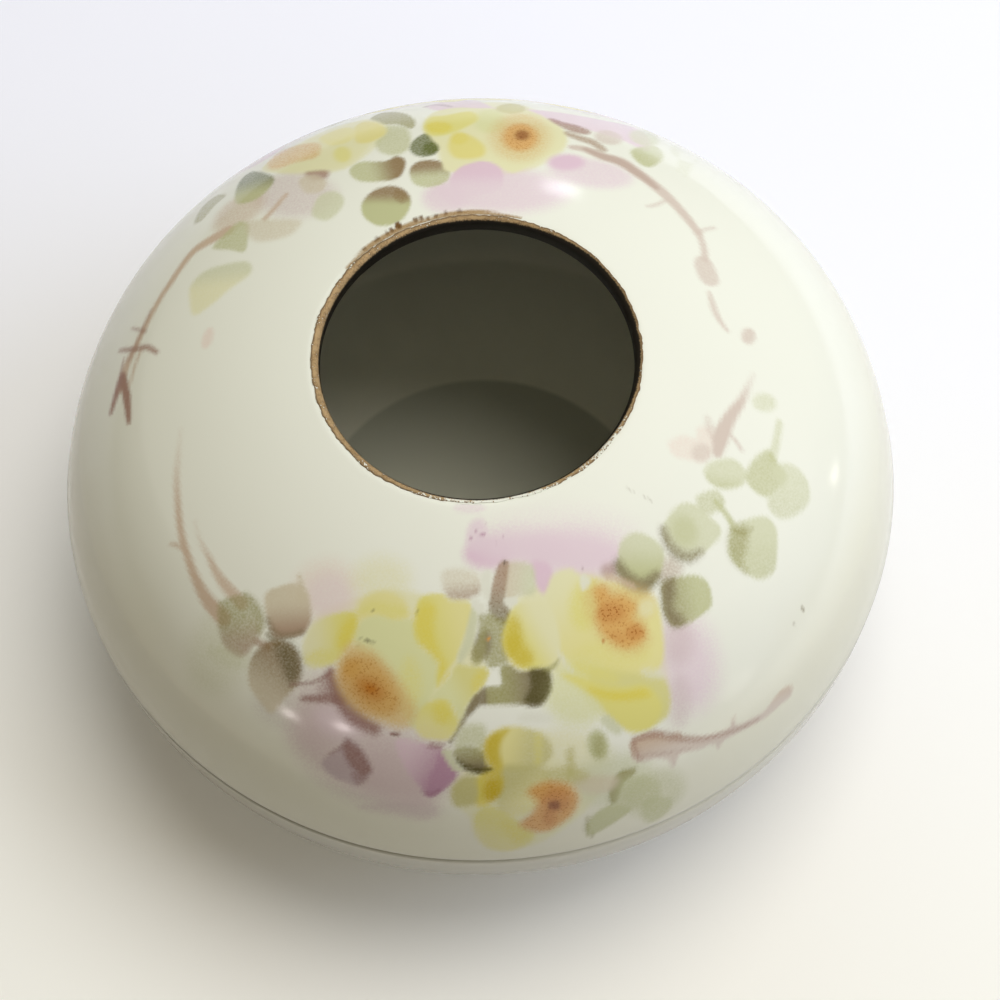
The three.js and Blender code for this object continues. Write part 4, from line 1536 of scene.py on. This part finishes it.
def bowl_run(sizes):
    """The bowl's outline from the middle of the underside over the foot ring, up the wall, over the ledge
    and the collar, and down inside to the middle of the floor."""
    wall_foot = sizes.seam_height - sizes.upper_wall_height
    collar_inner = sizes.collar_radius - sizes.collar_thickness
    floor_height = sizes.underside_recess + sizes.floor_thickness
    foot = (
        (0, sizes.underside_recess),
        (sizes.foot_inner_radius, sizes.underside_recess),
        (sizes.foot_inner_radius, 0),
        (sizes.foot_outer_radius, 0),
        (sizes.foot_outer_radius, sizes.foot_height),
    )
    wall_width = BODY_RADIUS - sizes.foot_outer_radius
    wall_depth = wall_foot - sizes.foot_height
    outer = oval_quarter((sizes.foot_outer_radius, wall_foot), wall_width, wall_depth, 1)
    rim = (
        (BODY_RADIUS, sizes.seam_height),
        (sizes.collar_radius, sizes.seam_height),
        (sizes.collar_radius, COLLAR_TOP),
        (collar_inner, COLLAR_TOP),
    )
    inner_width = collar_inner - sizes.floor_radius
    inner_depth = wall_foot - floor_height
    inner = oval_quarter((sizes.floor_radius, wall_foot), inner_width, inner_depth, INNER_ROUNDNESS)[::-1]
    crease = floor_height + (inner[:, 0] - sizes.floor_radius) * sizes.crease_slope
    inner[:, 1] = np.maximum(inner[:, 1], crease)
    return np.concatenate((foot, outer[1:], rim, inner, ((0, floor_height),)))


class HAIRRECEIVER_OT_bowl(bpy.types.Operator):
    """Make the bowl"""

    bl_idname = "hair_receiver.bowl"
    bl_label = "Bowl"

    def execute(self, context):
        settings = context.scene.hair_receiver
        sizes = settings.bowl
        outline = rows(softened(bowl_run(sizes)), BOWL_ROWS + 2)[1:-1]
        azimuths = np.arange(BOWL_TURN_STEPS) * FULL_TURN / BOWL_TURN_STEPS
        bowl = mesh_from_grid("glazed_bowl", turned_grid(outline, azimuths), capped=True)
        inward = np.arange(len(outline)) > np.argmax(outline[:, 1])
        on_floor = inward & (outline[:, 0] < sizes.floor_radius)
        # The two poles come last: the underside's, which is outside, and the floor's
        for name, shares in (("inside", inward), ("floor", on_floor)):
            set_attribute(bowl, name, np.append(np.repeat(shares * 1.0, BOWL_TURN_STEPS), (0, 1)))
        bowl.data.materials.append(bowl_glaze(settings.finishes, sizes.seam_height))
        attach(bowl, "bowl")
        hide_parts("bowl")
        return {"FINISHED"}


# The gold band's worn stretches, and those where the painted shade on its wall reaches over the lip: azimuth
# and reach in degrees, and how strong each is
WORN = ((-84, 22, 1.0), (-40, 14, 0.6))
LIP_SHADE_STRETCHES = ((22, 60, 1.1), (112, 28, 0.5), (-90, 75, 0.45), (-90, 30, 0.3))

# Its ragged outer edge: how far the brush strayed, in how many lumps round the band and from which seed,
# how far wear draws it in, and how far inwards the straying dies out
BRUSHED = ((0.11 * MM, 90, 1), (0.08 * MM, 330, 2))
WORN_BACK = 0.15 * MM
RAGGED_WIDTH = 0.6 * MM


def lumps_round(azimuths, count, seed):
    """Numbers from -1 to 1 that wander round the circle, one random height for each of `count` lumps."""
    heights = np.random.default_rng(seed).uniform(-1, 1, count)
    places = np.mod(azimuths / FULL_TURN, 1) * count
    return np.interp(places, np.arange(count + 1), np.append(heights, heights[0]))


def stretches(azimuths, places):
    """Bell curves round some azimuths, added up: strength * exp(-(turn / reach)^2)."""
    total = 0 * azimuths
    for degrees, reach, share in places:
        turn = np.degrees(np.angle(np.exp(1j * (azimuths - math.radians(degrees)))))
        total += share * np.exp(-((turn / reach) ** 2))
    return total


class HAIRRECEIVER_OT_gilding(bpy.types.Operator):
    """Make the worn gold band round the edge of the opening"""

    bl_idname = "hair_receiver.gilding"
    bl_label = "Gilding"

    def execute(self, context):
        settings = context.scene.hair_receiver
        face = softened(opening_lip(settings.lid, 0))
        face_rows = rows(face, GILT_FACE_ROWS)
        back_rows = rows(opening_lip(settings.lid, GILT_BACK_SINK)[::-1], GILT_BACK_ROWS)
        outline = np.concatenate((face_rows, back_rows))
        azimuths = -np.arange(GILT_TURN_STEPS) * FULL_TURN / GILT_TURN_STEPS
        # Worn stretches, and stretches where the painted shade reaches over the lip
        worn, lip_shade = stretches(azimuths, WORN), stretches(azimuths, LIP_SHADE_STRETCHES)
        strayed = sum(reach * lumps_round(azimuths, count, seed) for reach, count, seed in BRUSHED)
        strayed -= WORN_BACK * worn
        nearness = np.clip((outline[:, 0] - GILT_RADIUS) / RAGGED_WIDTH + 1, 0, 1)
        outwards = np.stack((np.cos(azimuths), np.sin(azimuths), 0 * azimuths), 1)
        grid = turned_grid(outline, azimuths) + nearness[:, None, None] * (outwards * strayed[:, None])
        band = mesh_from_grid("gold_band", grid)
        inward = (run_lengths(face)[-1] - run_lengths(face_rows)) / MM
        inward = np.append(inward, np.zeros(GILT_BACK_ROWS))
        set_attribute(band, "worn", np.tile(np.clip(worn, 0, 1), len(outline)))
        set_attribute(band, "lip_shade", np.tile(np.clip(lip_shade, 0, 1), len(outline)))
        set_attribute(band, "inward", np.repeat(inward, GILT_TURN_STEPS))
        band.data.materials.append(worn_gold(settings.finishes))
        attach(band, "lid")
        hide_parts("gilt_rim")
        return {"FINISHED"}


# Stage

# The windows light the porcelain and aren't mirrored: direction, tint and share of the light
WINDOWS = (
    ("right window light", (0.82, 0.0, 0.57), (0.91, 1.0, 1.20), 0.36),
    ("near window light", (0.66, -0.66, 0.35), (0.96, 1.0, 1.10), 0.09),
    ("high window light", (0.24, 0.24, 0.94), (1.05, 1.0, 0.90), 0.59),
    ("far window light", (0.0, 0.77, 0.64), (0.75, 1.0, 1.20), 0.12),
)
WINDOW_DISTANCE = 0.9
WINDOW_WIDTH = 0.7

# The glints are what the glaze mirrors: direction, width, tint and share of the brightness
GLINTS = (
    ("far window", (0.201, 0.898, 0.391), 0.10, (0.86, 0.93, 1.0), 1.0),
    ("right lamp", (0.978, 0.186, 0.094), 0.07, (1.0, 0.97, 0.86), 0.9),
    ("right window", (0.816, -0.575, 0.08), 0.20, (1.0, 1.0, 1.0), 0.12),
    ("left lamp", (-0.677, -0.690, 0.256), 0.07, (1.0, 0.88, 0.86), 1.6),
    ("near lamp", (-0.508, -0.784, 0.358), 0.07, (1.0, 0.88, 0.86), 1.6),
)
GLINT_DISTANCE = 1.2
LIT_HEIGHT = 40 * MM

# The tint of the light from all sides, and the white that the camera sees instead, and far off on the floor
SKY_TINT = (1.0, 0.85, 0.60)
ROOM_WHITE = (0.92, 0.92, 0.92)
BLACK = (0, 0, 0)

# The floor: its warmer colour near the camera, a painted warm tint of the light there, and where along Y
# that ends, its duller colour where it only throws light back, what it gives off where it is seen or
# mirrored, and how far from the axis it fades
FLOOR_NEAR_LIGHT_TINT = (0.84, 0.84, 0.80)
FLOOR_TINT_END = (-100 * MM, 120 * MM)
FLOOR_BOUNCE = (0.48, 0.47, 0.44)
FLOOR_GLOW = (0.085, 0.08, 0.064)
FLOOR_FADE = (250 * MM, 900 * MM)
FLOOR_ROUGHNESS = 0.8
FLOOR_REACH = 2.5

NEAREST_SEEN = 10 * MM


def paper(tone, glow):
    """A pale floor. Where it is seen or mirrored it glows a little, and elsewhere it is duller, so that it
    throws less light up on the porcelain. Far off it fades into the white of the room, and from below it is
    see-through."""
    sheet = material_sheet("pale floor")
    by_camera = sheet.node("LightPath", {}, {}, output="Is Camera Ray")
    seen = by_camera.larger(by_camera.sibling("Is Glossy Ray"))
    # Warmer near the camera: a painted warm tint of the light
    far = sheet.axis("Y").stepped(*FLOOR_TINT_END)
    gone = by_camera * sheet.from_axis().stepped(*FLOOR_FADE)
    floor = sheet.mix(seen, FLOOR_BOUNCE, sheet.mix(far, FLOOR_NEAR_LIGHT_TINT, tone))
    sheet.surface(
        Base_Color=sheet.mix(gone, floor, BLACK),
        Roughness=FLOOR_ROUGHNESS,
        Emission_Color=sheet.mix(gone, sheet.mix(seen, BLACK, FLOOR_GLOW), ROOM_WHITE),
        Emission_Strength=glow,
    )
    return sheet.open_from_behind()


def room(sky_strength):
    """The world: white to the camera, and tinted light from all sides to the pieces."""
    sheet = Sheet(bpy.data.worlds.new("room"), "World")
    by_camera = sheet.node("LightPath", {}, {}, output="Is Camera Ray")
    sky = tuple(each * sky_strength for each in SKY_TINT)
    return sheet.end_in(sheet.node("Background", {}, {"Color": sheet.mix(by_camera, sky, ROOM_WHITE)}))


def camera():
    """The photograph's camera."""
    lens = bpy.data.cameras.new("camera")
    lens.sensor_width = SENSOR_WIDTH_MM
    lens.lens = FOCAL_PIXELS * SENSOR_WIDTH_MM / PHOTO_SIZE
    lens.clip_start = NEAREST_SEEN
    right, up, forward = camera_axes()
    columns = np.stack((right, up, -forward, CAMERA_PLACE), 1)
    thing = added("camera", lens)
    thing.matrix_world = Matrix((*columns.tolist(), (0, 0, 0, 1)))
    return thing


def disk_lamp(name, direction, distance, width, tint):
    """A round lamp that faces the pieces from a direction."""
    lamp = bpy.data.lights.new(name, "AREA")
    lamp.shape = "DISK"
    lamp.size = width
    lamp.color = tint
    direction = Vector(direction).normalized()
    thing = added(name, lamp)
    thing.location = Vector((0, 0, LIT_HEIGHT)) + direction * distance
    thing.rotation_mode = "QUATERNION"
    thing.rotation_quaternion = (-direction).to_track_quat("-Z", "Y")
    return thing


def lamps(light):
    """The windows, whose power is set by how white they show a white surface, pi^2 (distance^2 + radius^2),
    and the glints, whose power is set by how bright they look themselves, pi^2 radius^2."""
    for name, direction, tint, share in WINDOWS:
        window = disk_lamp(name, direction, WINDOW_DISTANCE, WINDOW_WIDTH, tint)
        power = math.pi**2 * (WINDOW_DISTANCE**2 + (WINDOW_WIDTH / 2) ** 2)
        window.data.energy = light.key_strength * share * power
        window.visible_glossy = False
    for name, direction, width, tint, share in GLINTS:
        glint = disk_lamp(name, direction, GLINT_DISTANCE, width, tint)
        glint.data.energy = light.glint_strength * share * math.pi**2 * (width / 2) ** 2
        glint.visible_diffuse = False


class HAIRRECEIVER_OT_stage(bpy.types.Operator):
    """Make the camera, the lamps, the sky and the floor"""

    bl_idname = "hair_receiver.stage"
    bl_label = "Stage"

    def execute(self, context):
        settings = context.scene.hair_receiver
        scene = context.scene
        scene.view_settings.view_transform = "Standard"
        scene.camera = camera()
        scene.world = room(settings.light.sky_strength)
        lamps(settings.light)
        mesh = bpy.data.meshes.new("floor")
        corners = [(x * FLOOR_REACH, y * FLOOR_REACH, 0) for x, y in ((-1, -1), (1, -1), (1, 1), (-1, 1))]
        mesh.from_pydata(corners, [], [(0, 1, 2, 3)])
        mesh.materials.append(paper(tuple(settings.finishes.floor), settings.light.floor_glow))
        floor = added("floor", mesh)
        return {"FINISHED"}


class HAIRRECEIVER_PT_pieces(bpy.types.Panel):
    """The pieces of the hair receiver"""

    bl_label = "Hair receiver"
    bl_idname = "HAIRRECEIVER_PT_pieces"
    bl_space_type = "VIEW_3D"
    bl_region_type = "UI"
    bl_category = "Hair receiver"

    def draw(self, context):
        for operator in OPERATORS:
            self.layout.operator(operator.bl_idname)


OPERATORS = (
    HAIRRECEIVER_OT_stage,
    HAIRRECEIVER_OT_bowl,
    HAIRRECEIVER_OT_lid,
    HAIRRECEIVER_OT_gilding,
)
CLASSES = (LidSizes, BowlSizes, Finishes, StageLight, ReceiverSettings, *OPERATORS, HAIRRECEIVER_PT_pieces)


def register():
    for each in CLASSES:
        bpy.utils.register_class(each)
    bpy.types.Scene.hair_receiver = PointerProperty(type=ReceiverSettings)


def unregister():
    del bpy.types.Scene.hair_receiver
    for each in reversed(CLASSES):
        bpy.utils.unregister_class(each)


def main():
    register()
    bpy.ops.hair_receiver.stage()
    bpy.ops.hair_receiver.bowl()
    bpy.ops.hair_receiver.lid()
    bpy.ops.hair_receiver.gilding()


if __name__ == "__main__":
    main()
